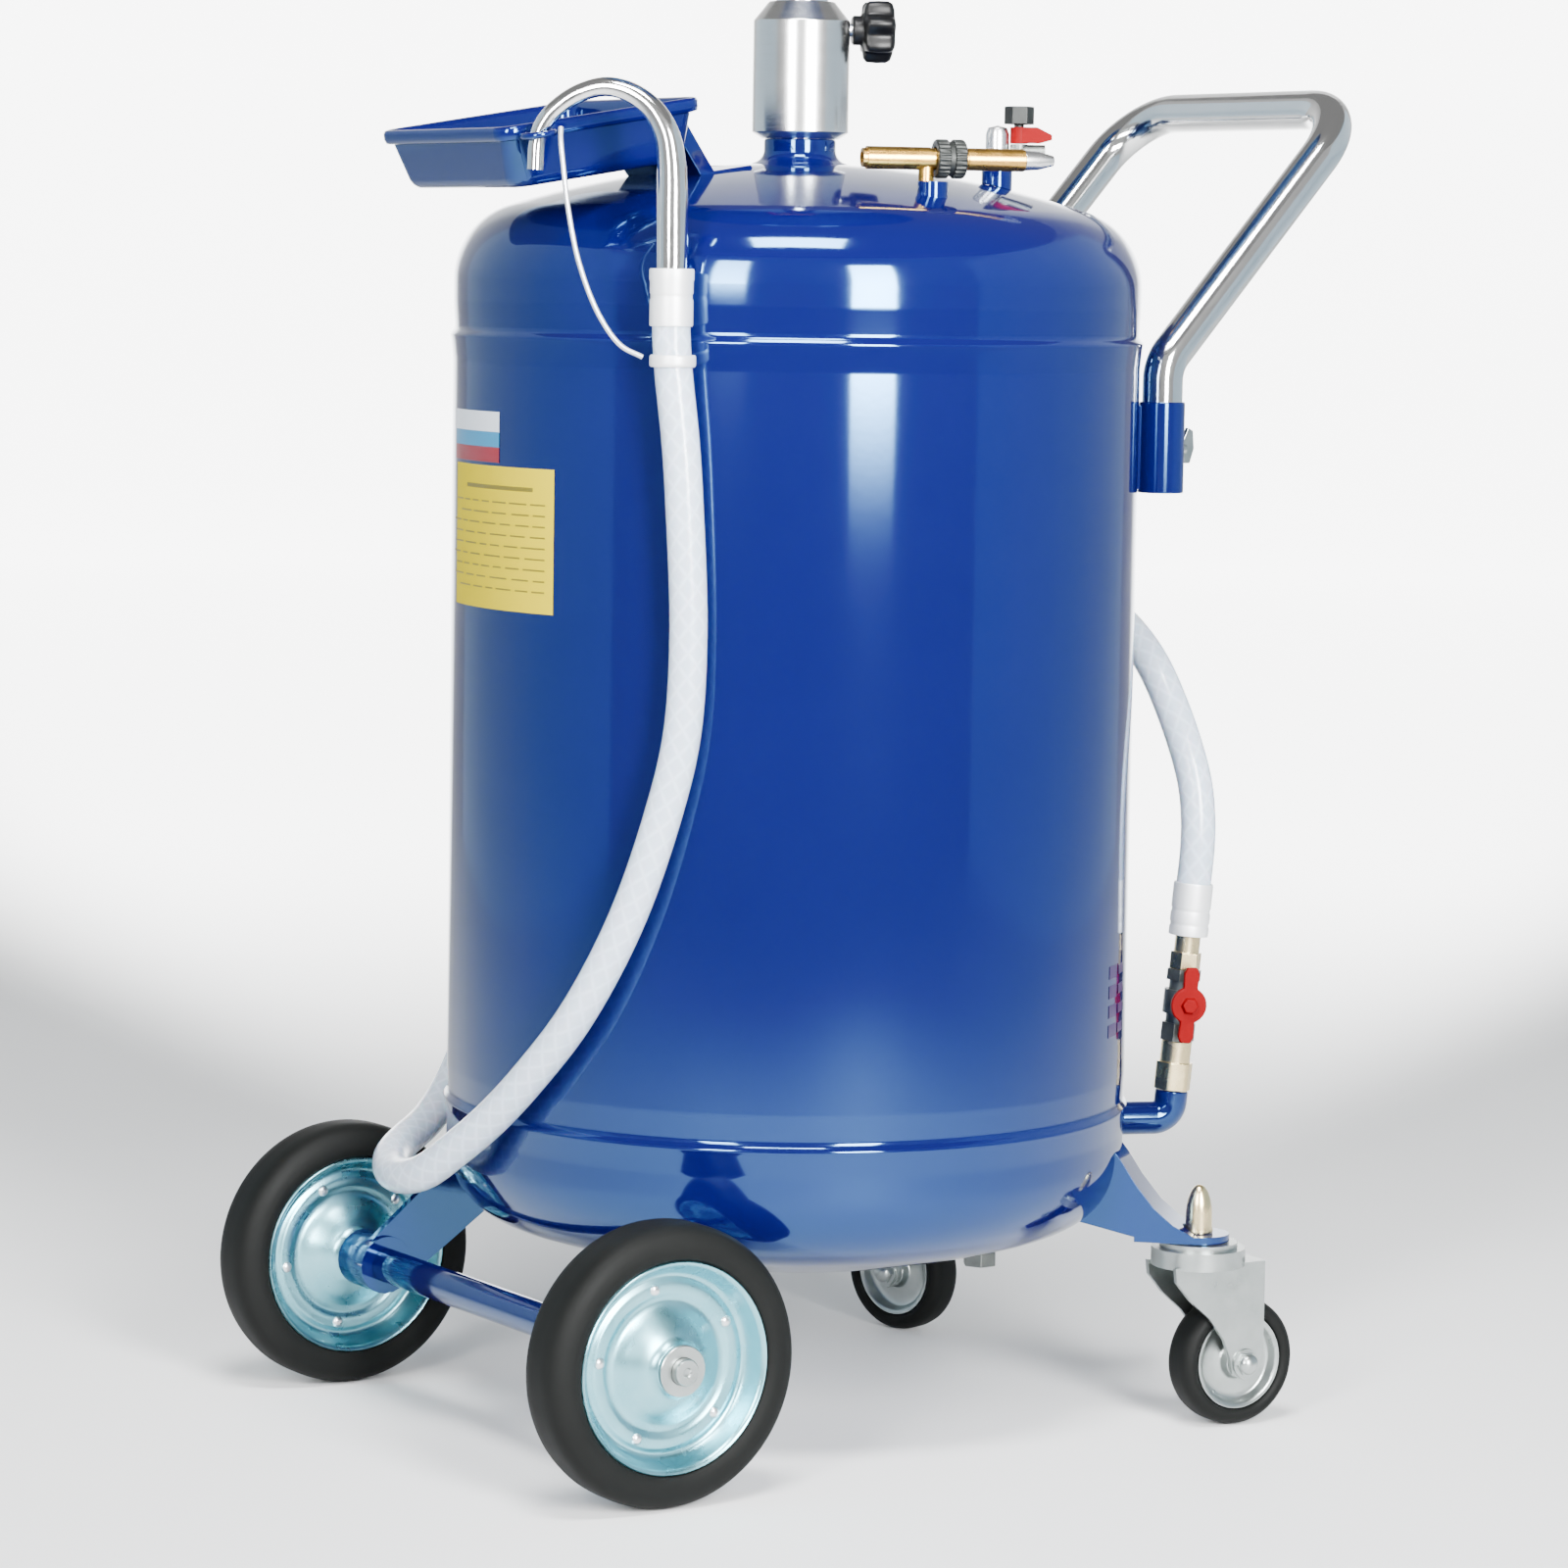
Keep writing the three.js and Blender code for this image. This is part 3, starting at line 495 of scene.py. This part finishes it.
# ------------------------------------------------------------------ column
foot = CROWN_CENTRE_Z + math.sqrt(CROWN_R**2 - 31**2)
neck = [(17, 752), (22, 752), (22, foot - 2), (32, foot - 1.2)]
neck += [(30 - 8 * math.sin(a), foot + 8.5 - 8 * math.cos(a)) for a in (0.15, 0.45, 0.75, 1.05, 1.35, 1.57)]
neck += [(22, NECK_TOP_Z - 1), (21.2, NECK_TOP_Z), (17, NECK_TOP_Z)]
show(lathe("neck_tube", neck, placed(0, 0, 0), 64), BLUE, "column_neck", angle=40)
collar = [(16.4, NECK_TOP_Z + 0.3), (23.5, NECK_TOP_Z + 0.3), (COLLAR_R, NECK_TOP_Z + 4), (COLLAR_R, 854.6),
          (20, COLLAR_TOP_Z), (16.4, COLLAR_TOP_Z)]
show(lathe("collar_turned", collar, placed(0, 0, 0), 96), MACHINED, "column_collar", bevel=0.5)

knob_place = placed(0, 0, KNOB_Z, (90, "Y"), (KNOB_TURN, "Z"))
knob_rings = []
for r, lobe, h in ((0, 0, 31), (8, 0, 31), (9, 0, 32), (9, 0, 36), (11, 0.2, 37.4), (15.5, 0.7, 38.2),
                   (17, 1, 40), (17.4, 1, 46), (17.2, 1, 52), (16, 0.9, 54.6), (13.6, 0.6, 55.8),
                   (10, 0.2, 56.2), (7, 0, 55.4), (0, 0, 55.2)):
    if r == 0:
        knob_rings.append([(0, 0, h)])
        continue
    angles = [TAU * i / 112 for i in range(112)]
    radii = [r + lobe * 2.1 * math.cos(7 * a) for a in angles]
    knob_rings.append([(q * math.cos(a), q * math.sin(a), h) for a, q in zip(angles, radii)])
show(loft("knob_head", knob_rings, knob_place), BLACK, "clamp_knob", angle=60)
stem = lathe("knob_stem", [(0, 16.5), (3.4, 16.5), (4, 17.2), (4, 31.5), (0, 31.5)], knob_place, 32, False)
show(stem, STEEL, body="column_knob", slot="bright_steel")

pipe = [(TUBE_BORE, TUBE_BOTTOM_Z), (TUBE_R, TUBE_BOTTOM_Z), (TUBE_R, TUBE_TOP_Z), (TUBE_BORE, TUBE_TOP_Z)]
show(lathe("lift_tube", pipe, placed(0, 0, 0), 64), CHROME, "drain_tube", bevel=0.4)
refine("shutoff_body", BRASS, 0.6)
refine("shutoff_lever", RED, 0.8)
curl = (-1.9, -1.1, -0.4, 0.3, 1, 1.57, 2.3, 3)
rim = [(200 + 2.3 + 2.3 * math.cos(a), 1259.7 + 2.3 * math.sin(a)) for a in curl]
bowl = [(14, 1124.3), (21, 1124.3), (21, 1135)] + [(60, 1148), (120, 1168), (178, 1187.6)]
bowl += [(192.5, 1193.6), (198.6, 1200.5), (200, 1209), (200, 1256)] + rim
bowl += [(198, 1209.4), (196.7, 1201.4), (191.5, 1195.5), (177, 1190.2), (119, 1171), (59, 1153)]
bowl += [(14, 1138.6)]
show(lathe("bowl_pressing", bowl, placed(0, 0, 0), 128), BLUE, "drain_bowl", angle=40)
refine("bowl_strainer", STEEL, 0.3)

# ------------------------------------------------------------------ push handle
leg = [(SOCKET_X, -HANDLE_Y, 578), (SOCKET_X, -HANDLE_Y, 650), (HANDLE_END_X, -HANDLE_Y, HANDLE_TOP_Z)]
bar = leg + [(x, -y, z) for x, y, z in reversed(leg)]
bent = [spot(*p) for p in rounded(bar, [26, 42, 42, 26], 14)]
show(tube("handle_bar", bent, HANDLE_R, 48), CHROME, "push_handle", angle=50)
for side in ("near", "far"):
    refine(f"handle_socket_{side}", BLUE, 0.7)
    refine(f"clamp_screw_{side}", FORK_ZINC, 0.9)

# ------------------------------------------------------------------ tray


def frame_ring(hx, hy, r, z):
    """A rounded rectangle of 44 points at a height."""
    ring = []
    for k, (sx, sy) in enumerate(((1, 1), (-1, 1), (-1, -1), (1, -1))):
        for i in range(11):
            a = math.radians(90 * k + 9 * i)
            ring.append((sx * (hx - r) + r * math.cos(a), sy * (hy - r) + r * math.sin(a), z))
    return ring


tray_rings = []
for hx, hy, r, z in ((10, 10, 5, -34), (53, 60, 9, -34), (56.4, 63.4, 11, -33.2), (58.8, 65.6, 12, -31),
                     (60.2, 66.8, 12, -28), (64.4, 71, 9, -5.4), (65.8, 72.4, 10, -6.2),
                     (68, 74.6, 11, -5.4), (69, 75.5, 12, -3),
                     (69, 75.5, 12, 0.4), (68.3, 74.8, 12, 2), (66.8, 73.3, 11, 2.5), (64.8, 71.3, 10, 1.9),
                     (63.4, 69.9, 9, 0.6), (63, 69.5, 9, -2.4), (58.4, 65, 10, -27.6),
                     (56.6, 63.2, 10, -30.2), (54, 61, 9, -31.7), (51, 58, 8, -32), (10, 10, 5, -32)):
    tray_rings.append(frame_ring(hx, hy, r, z))
tray_place = placed(TRAY_X, 0, TRAY_Z, (-TRAY_TILT, "Y"))
show(loft("tray_pressing", tray_rings, tray_place), BLUE, "hook_tray", angle=50)
refine("tray_bracket", BLUE, 0.8)
loop = [(9.2 + 1.8 * math.cos(TAU * k / 16), 1.9 * math.sin(TAU * k / 16)) for k in range(16)]
show(lathe("spout_ring", loop, placed(*RING, (-TRAY_TILT, "Y")), 48), BLUE, "hook_ring", angle=60)

# ------------------------------------------------------------------ large wheels


def across(y, flip):
    """A place on the wheels' axis, facing one way or the other."""
    return placed(WHEEL_X, y, WHEEL_R, (90 if flip else -90, "X"))


def both(half):
    """An outline joined to its mirror image about z = 0."""
    return half + [(r, -z) for r, z in reversed(half)]


show(lathe("axle_sleeve", [(8.4, -134.2), (10.5, -134.2), (10.5, 134.2), (8.4, 134.2)], across(0, False), 48),
     BLUE, "axle_tube", bevel=0.3)
shaft = [(0, -218.4), (2.2, -218.9), (3, -220), (7.2, -220), (8, -219)]
shaft += [(r, -z) for r, z in reversed(shaft)]
show(lathe("axle_bar", shaft, across(0, False), 48, False), FORK_ZINC, "axle_shaft", angle=40)

DISC = [(8.3, 22), (14, 22), (15.2, 21), (16.2, 18.4), (19, 16.6), (24, 14.2), (30, 9.2), (34, 6.2), (37, 5),
        (39.5, 5.2), (41, 6.2), (43, 6.8), (47, 6.8), (49, 6.2), (50.6, 4.9), (52.4, 4.8), (54.4, 6.6),
        (56.4, 10.2), (58.2, 15), (59.6, 17), (61.2, 17.5), (62, 16.6), (61.4, 15.2), (60, 13.4),
        (57.4, 7.6), (54.5, 3)]
BEAD = [(54.9, 2.4), (57.8, 7.6), (60.5, 13.2), (62, 15.2), (62.6, 17), (63.6, 18), (66, 18.5), (68, 19.2),
        (70, 18.9), (72.4, 18.8), (74, 18.2), (77, 17.4), (79.6, 15.4), (81.4, 12.4), (82.3, 8.6), (82.5, 4)]
for side, s in (("near", -1), ("far", 1)):
    hub = across(s * WHEEL_Y, s < 0)
    show(lathe(f"wheel_pressing_{side}", both(DISC), hub, 96), ZINC, f"wheel_disc_{side}", angle=50)
    show(lathe(f"wheel_rubber_{side}", both(BEAD), hub, 120), TYRE, f"wheel_tyre_{side}", angle=50)
    body = BODY_OF[f"wheel_disc_{side}"]
    for face in (1, -1):
        rivets = bmesh.new()
        for k in range(5):
            out_to = Matrix.Translation((45 * MM, 0, face * 6.4 * MM))
            head = Matrix.Rotation(TAU * k / 5 + 0.5, 4, "Z") @ out_to
            ball = bmesh.ops.create_uvsphere(rivets, u_segments=24, v_segments=12, radius=1,
                                             matrix=Matrix())
            size = Matrix.Diagonal((3.6 * MM, 3.6 * MM, 2.2 * MM, 1))
            bmesh.ops.transform(rivets, matrix=hub @ head @ size, verts=ball["verts"])
        mesh = bpy.data.meshes.new(f"wheel_rivets_{side}_{face}")
        rivets.to_mesh(mesh)
        rivets.free()
        heads = bpy.data.objects.new(f"wheel_rivets_{side}_{'out' if face > 0 else 'in'}", mesh)
        bpy.context.scene.collection.objects.link(heads)
        show(heads, STEEL, body=body, slot="zinc", angle=60)
    washer = [(8.3, 22.4), (15, 22.4), (15, 24.4), (14.4, 25), (8.3, 25)]
    show(lathe(f"hub_washer_{side}", washer, hub, 48), FORK_ZINC, f"axle_washer_{side}")
    refine(f"axle_bracket_{side}", BLUE, 0.9)

# ------------------------------------------------------------------ castors
NUT = [(0, 104), (5, 104), (5, 120.8), (8.6, 120.9), (8.8, 122.4), (8.2, 124), (8, 133), (7.7, 137),
       (6.9, 141.4), (5.4, 145.6), (3.4, 148.8), (1.4, 150), (0, 150.2)]
CASTOR_DISC = [(4.3, 13), (9.4, 13), (10.4, 12), (11, 7.6), (12.6, 6), (19, 5), (23, 4.8), (25, 6),
               (26.4, 9.4), (27.6, 10.4), (29.4, 10.5), (29.7, 9.6)]
CASTOR_TYRE = [(30.1, 10), (30.8, 11.4), (33, 12.4), (35.4, 12.3), (37.4, 11), (39.2, 8.4), (40, 4.6)]
for side, x, y, swing in CASTORS:
    refine(f"castor_leg_{side}", BLUE, 0.9)
    nut = lathe(f"stem_cap_{side}", NUT, placed(x, y, 0), 48, False)
    show(nut, PALE_BRASS, f"castor_nut_{side}", angle=50)
    refine(f"castor_fork_{side}", FORK_ZINC, 0.9)
    turned = math.radians(swing)
    wx, wy = x + CASTOR_TRAIL * math.cos(turned), y + CASTOR_TRAIL * math.sin(turned)
    roll = placed(wx, wy, CASTOR_R, (-90, "X"), (swing, "Z"))
    show(lathe(f"castor_hub_{side}", both(CASTOR_DISC), roll, 64), FORK_ZINC, f"castor_disc_{side}", angle=50)
    show(lathe(f"castor_rubber_{side}", both(CASTOR_TYRE), roll, 80), TYRE, f"castor_tyre_{side}", angle=50)
    for face in (1, -1):
        cap = [(0, 25.4), (2.6, 25.1), (5, 23.9), (6.4, 21.8), (6.6, 19.4), (9, 19.2), (9.2, 17.7), (4, 17.7)]
        way = "out" if face > 0 else "in"
        dome = lathe(f"axle_cap_{side}_{way}", [(r, face * h) for r, h in cap], roll, 48, False)
        show(dome, FORK_ZINC, body=BODY_OF[f"castor_fork_{side}"], slot="zinc", angle=50)

# ------------------------------------------------------------------ fittings on the dome
for node in ("air_stub", "relief_stub"):
    refine(node, BLUE, 0.8)
air_place = placed(*AIR, (90, "Y"), (AIR_TURN, "Z"))
refine("air_inlet_body", BRASS, 0.5)
refine("air_outlet_half", BRASS, 0.5)
refine("air_plug", STEEL, 0.3)
sleeve = []
for h, r, tooth in ((0.9, 7, 0), (0.9, 10.6, 0), (1.5, 11.2, 0), (2.2, 11.1, 0.35), (8, 11.1, 0.35),
                    (8.6, 10.2, 0), (11, 10.2, 0), (11.6, 11.1, 0.35), (17.2, 11.1, 0.35), (17.9, 11, 0),
                    (18.4, 10.4, 0), (18.4, 7, 0)):
    ring = []
    for i in range(96):
        q = r + tooth * (1 if i % 4 < 2 else -1)
        ring.append((q * math.cos(TAU * i / 96), q * math.sin(TAU * i / 96), h))
    sleeve.append(ring)
show(loft("sleeve_knurled", sleeve, air_place, closed=True), DARK, "air_sleeve", angle=40)
refine("relief_nut", STEEL, 0.4)
refine("relief_body", GUNMETAL, 0.5)
refine("relief_lever", RED, 0.8)
refine("relief_cap", DARK, 0.6)

# ------------------------------------------------------------------ outlet and ball valve
turn_out = Matrix.Rotation(math.radians(OUTLET_TURN), 3, "Z")
bend = rounded([(204, 0, PIPE_Z), (OUTLET_RHO - 1.6, 0, PIPE_Z), (OUTLET_RHO, 0, OUTLET_Z)], [11], 10)
show(tube("outlet_bend", [spot(*(turn_out @ p)) for p in bend], 10.5, 32), BLUE, "outlet_elbow", bevel=0.8)
foot_at = turn_out @ Vector((OUTLET_RHO, 0, OUTLET_Z))
valve_place = placed(*foot_at, (OUTLET_LEAN, "Y"), (OUTLET_TURN, "Z"))
refine("outlet_coupling", PALE_BRASS, 0.5)
refine("valve_body", GUNMETAL, 0.7)
refine("valve_adaptor", PALE_BRASS, 0.5)
refine("valve_lever", RED, 1.0)
crimp = [(11.3, 98.8), (12.2, 98.8), (12.5, 99.6), (12.5, 104), (12, 104.8), (12, 106.6), (12.5, 107.4),
         (12.5, 113), (12, 113.8), (12, 115.6), (12.5, 116.4), (12.5, 131), (12.1, 132), (11.3, 132)]
show(lathe("crimp_lower", crimp, valve_place, 56), SATIN, "ferrule_lower", angle=50)

# ------------------------------------------------------------------ hose, spout and lanyard
HOSE_LINE = [
    (238.7, -95.9, 293), (240.2, -96.5, 312), (241.2, -97, 325), (242.6, -97.8, 343), (243.6, -97, 363),
    (243.6, -93, 386), (242.2, -83.8, 410), (240.4, -69.6, 436), (239.6, -53.6, 457), (239.6, -33, 474),
    (239, -9, 487), (232, 22, 497), (219, 54, 501), (199, 100, 499), (168, 151, 490), (118, 193, 472),
    (62, 218, 443), (8, 227, 405), (-40, 224, 355), (-74, 214, 295), (-98, 204, 242), (-118, 193, 206),
    (-140, 179, 181), (-164, 162, 166.5), (-190, 142, 159.5), (-213, 118, 155), (-227.5, 92, 151.5),
    (-234.5, 64, 152.5), (-236, 35, 160), (-232.5, 5, 177.5), (-226, -26, 200), (-218.5, -58, 229),
    (-206.5, -92.7, 270.6), (-190.5, -120, 327.6), (-177, -138, 391.5), (-169.6, -145, 437.2),
    (-167, -146.4, 494.9), (-169.8, -144.6, 570.2), (-172, -143, 606), (-175.9, -140.8, 645),
    (-177.3, -140, 668), (-177.4, -140, 690),
]
SPOUT_LINE = [
    (-177.4, -140, 690.6), (-177.6, -139.8, 730), (-178.2, -139.2, 765), (-180.6, -137, 781),
    (-186.5, -131, 794.5), (-195, -122.6, 803), (-205.5, -112.8, 806.4), (-216, -103.8, 803.4),
    (-225.4, -96.6, 796.6),
    (-232.6, -91.2, 787.6), (-236.4, -88.2, 777), (-237.4, -87.4, 759),
]
LANYARD_LINE = [
    (-229, -101.5, 783), (-230.5, -104, 776), (-230, -106, 762), (-227.6, -108.5, 736),
    (-222.6, -112.5, 706.5), (-213.4, -120, 677), (-203.4, -127.6, 660), (-192.6, -134, 653.5),
]
hose_path, hose_length = smooth_route([spot(*p) for p in HOSE_LINE], 0.006)
hose = show(tube("braided_hose", hose_path, HOSE_R, 32), HOSE, "hose", angle=60)
upper = [(11.3, 671.2), (12.1, 671.2), (12.5, 672), (12.5, 686), (12, 686.8), (12, 689.4), (12.5, 690.2),
         (12.5, 697), (12.9, 697.6), (12.9, 703), (12.4, 704), (9.6, 704), (9.6, 691), (11.3, 691)]
crimp_upper = show(lathe("crimp_upper", upper, placed(-177.4, -140, 0), 56), SATIN, "ferrule_upper", angle=50)

spout_path, _ = smooth_route([spot(*p) for p in SPOUT_LINE], 0.002)
taper = [8.9, 9.1, 9.1, 8.9, 8.2, 7, 6, 5.6, 5.3, 5.1, 5, 4.8]


def spread(values, count):
    """Values stretched evenly over a count of points."""
    out = []
    for i in range(count):
        t = i / (count - 1) * (len(values) - 1)
        k = min(int(t), len(values) - 2)
        out.append(values[k] + (values[k + 1] - values[k]) * (t - k))
    return out


widths = spread(taper, len(spout_path))
mouth = [spout_path[-1], spout_path[-3], spout_path[-6]]
bored = [w - 1.4 for w in widths[-1:-7:-1]]
spout = show(tube("spout_arch", spout_path + mouth, widths + [bored[0], bored[2], bored[5]], 36),
             CHROME, "spout", angle=50)
cable_path, cable_length = smooth_route([spot(*p) for p in LANYARD_LINE], 0.002)
cable = show(tube("lanyard_wire", cable_path, 1.5, 12), CABLE, "lanyard", angle=60)
clip = [(11.7, 648.6), (12.5, 648), (13.2, 648.6), (13.4, 650), (13.4, 653), (13.2, 654.4), (12.5, 655),
        (11.7, 654.4)]
clamp = show(lathe("lanyard_band", clip, placed(-176.4, -140.5, 0), 48), SATIN, "lanyard_clip", angle=50)

# ------------------------------------------------------------------ floor, light and camera
CAMERA = (-1708.4, -2611, 706.1)
VIEW_TURN = -33.13
VIEW_DOWN = 5.82
VIEW_ROLL = 0.89
LENS = 116.54


def backdrop():
    """A pale sweep: a floor that curves up into a wall all round, far from the object. The wall gives off
    light on the side that lies behind the object in the main view."""
    material, n = surface("studio_floor", (0.8, 0.8, 0.8), (0.83, 0.83, 0.83), (0.7, 0.8), scale=3, bump=0.02)
    place = n.add("SeparateXYZ", {"Vector": n.add("TexCoord").node.outputs["Object"]}).node
    heading = math.radians(VIEW_TURN + 90)
    ahead = n.math("ADD", n.math("MULTIPLY", place.outputs["X"], math.cos(heading)),
                   n.math("MULTIPLY", place.outputs["Y"], math.sin(heading)))
    reach = n.math("SQRT", n.math("ADD", n.math("MULTIPLY", place.outputs["X"], place.outputs["X"]),
                                  n.math("MULTIPLY", place.outputs["Y"], place.outputs["Y"])))
    turned = n.math("DIVIDE", ahead, n.math("MAXIMUM", reach, 0.001))
    far = n.add("MapRange", {"Value": reach, "From Min": 0.3, "From Max": 3.5},
                interpolation_type="SMOOTHERSTEP")
    side = n.add("MapRange",
                 {"Value": turned, "From Min": 0.9, "From Max": 0.976, "To Min": 0.0, "To Max": 6.0},
                 interpolation_type="SMOOTHERSTEP")
    low = n.add("MapRange",
                {"Value": place.outputs["Z"], "From Min": 1.5, "From Max": 3.0, "To Min": 1.0, "To Max": 0.1},
                interpolation_type="SMOOTHERSTEP")
    n.bsdf.inputs["Emission Color"].default_value = (1, 1, 1, 1)
    n.drive("Emission Strength", n.math("MULTIPLY", n.math("MULTIPLY", far, side), low))
    rings = []
    for r, z in ((0, 0), (1500, 0), (4000, 0), (9000, 0), (9800, 120), (10400, 500), (10800, 1200),
                 (10900, 2600), (10950, 9000)):
        if r == 0:
            rings.append([(0, 0, -0.5)])
        else:
            rings.append(circle(r, z - 0.5, 96))
    floor = loft("studio_floor", rings, caps=False)
    floor.data.materials.append(material)
    soften(floor, angle=80)


backdrop()

camera_data = bpy.data.cameras.new("camera")
camera_data.lens = LENS
camera_data.sensor_width = 36
camera = bpy.data.objects.new("camera", camera_data)
bpy.context.scene.collection.objects.link(camera)
camera.matrix_world = (
    Matrix.Translation(spot(*CAMERA))
    @ Matrix.Rotation(math.radians(VIEW_TURN), 4, "Z")
    @ Matrix.Rotation(math.radians(90 - VIEW_DOWN), 4, "X")
    @ Matrix.Rotation(math.radians(VIEW_ROLL), 4, "Z")
)
bpy.context.scene.camera = camera


def softbox(name, turn, distance, height, width, tall, glow, aim=450, fade=0.0, grid=180, colour=(1, 1, 1)):
    """An area light turned by so many degrees from the camera's side of the tank. Its distance, height, width
    and tall are in metres, and it aims at a height in mm. glow is its brightness, fade the part of its height
    that dims towards its lower edge, and grid the angle it fans."""
    data = bpy.data.lights.new(name, "AREA")
    data.shape = "RECTANGLE"
    data.size = width
    data.size_y = tall
    data.energy = glow * math.pi * width * tall
    data.spread = math.radians(grid)
    data.color = colour
    if fade:
        data.use_nodes = True
        tree = data.node_tree
        across = tree.nodes.new("ShaderNodeNewGeometry")
        parts = tree.nodes.new("ShaderNodeSeparateXYZ")
        ramp = tree.nodes.new("ShaderNodeMapRange")
        ramp.inputs["From Max"].default_value = fade
        sink = tree.nodes.new("ShaderNodeMath")
        sink.operation = "POWER"
        sink.inputs[1].default_value = 4
        tree.links.new(across.outputs["Parametric"], parts.inputs[0])
        tree.links.new(parts.outputs["Y"], ramp.inputs["Value"])
        tree.links.new(ramp.outputs[0], sink.inputs[0])
        tree.links.new(sink.outputs[0], tree.nodes["Emission"].inputs["Strength"])
    lamp = bpy.data.objects.new(name, data)
    bpy.context.scene.collection.objects.link(lamp)
    heading = math.radians(VIEW_TURN - 90 + turn)
    lamp.location = AXIS + Vector((distance * math.cos(heading), distance * math.sin(heading), height))
    lamp.rotation_euler = (lamp.location - spot(0, 0, aim)).to_track_quat("Z", "Y").to_euler()
    lamp.visible_camera = False


softbox("key_right", 24, 2.6, 1.17, 0.64, 1.6, 45, 1130, 0.15, 110)
softbox("key_left", -21.8, 2.6, 1.39, 0.5, 1.6, 27, 1420, 0.1, 110)
softbox("overhead", 0, 1.2, 2.55, 0.9, 0.55, 30, 700, 0, 120)
softbox("side_right", 100, 2.5, 1.3, 4.2, 2.6, 0.45, 1300, colour=(0.36, 0.72, 1))
softbox("side_left", -100, 2.5, 1.3, 4.2, 2.6, 0.45, 1300, colour=(0.36, 0.72, 1))

world = bpy.data.worlds.new("studio")
world.use_nodes = True
world.node_tree.nodes["Background"].inputs["Color"].default_value = (1, 1, 1, 1)
world.node_tree.nodes["Background"].inputs["Strength"].default_value = 0.25
bpy.context.scene.world = world
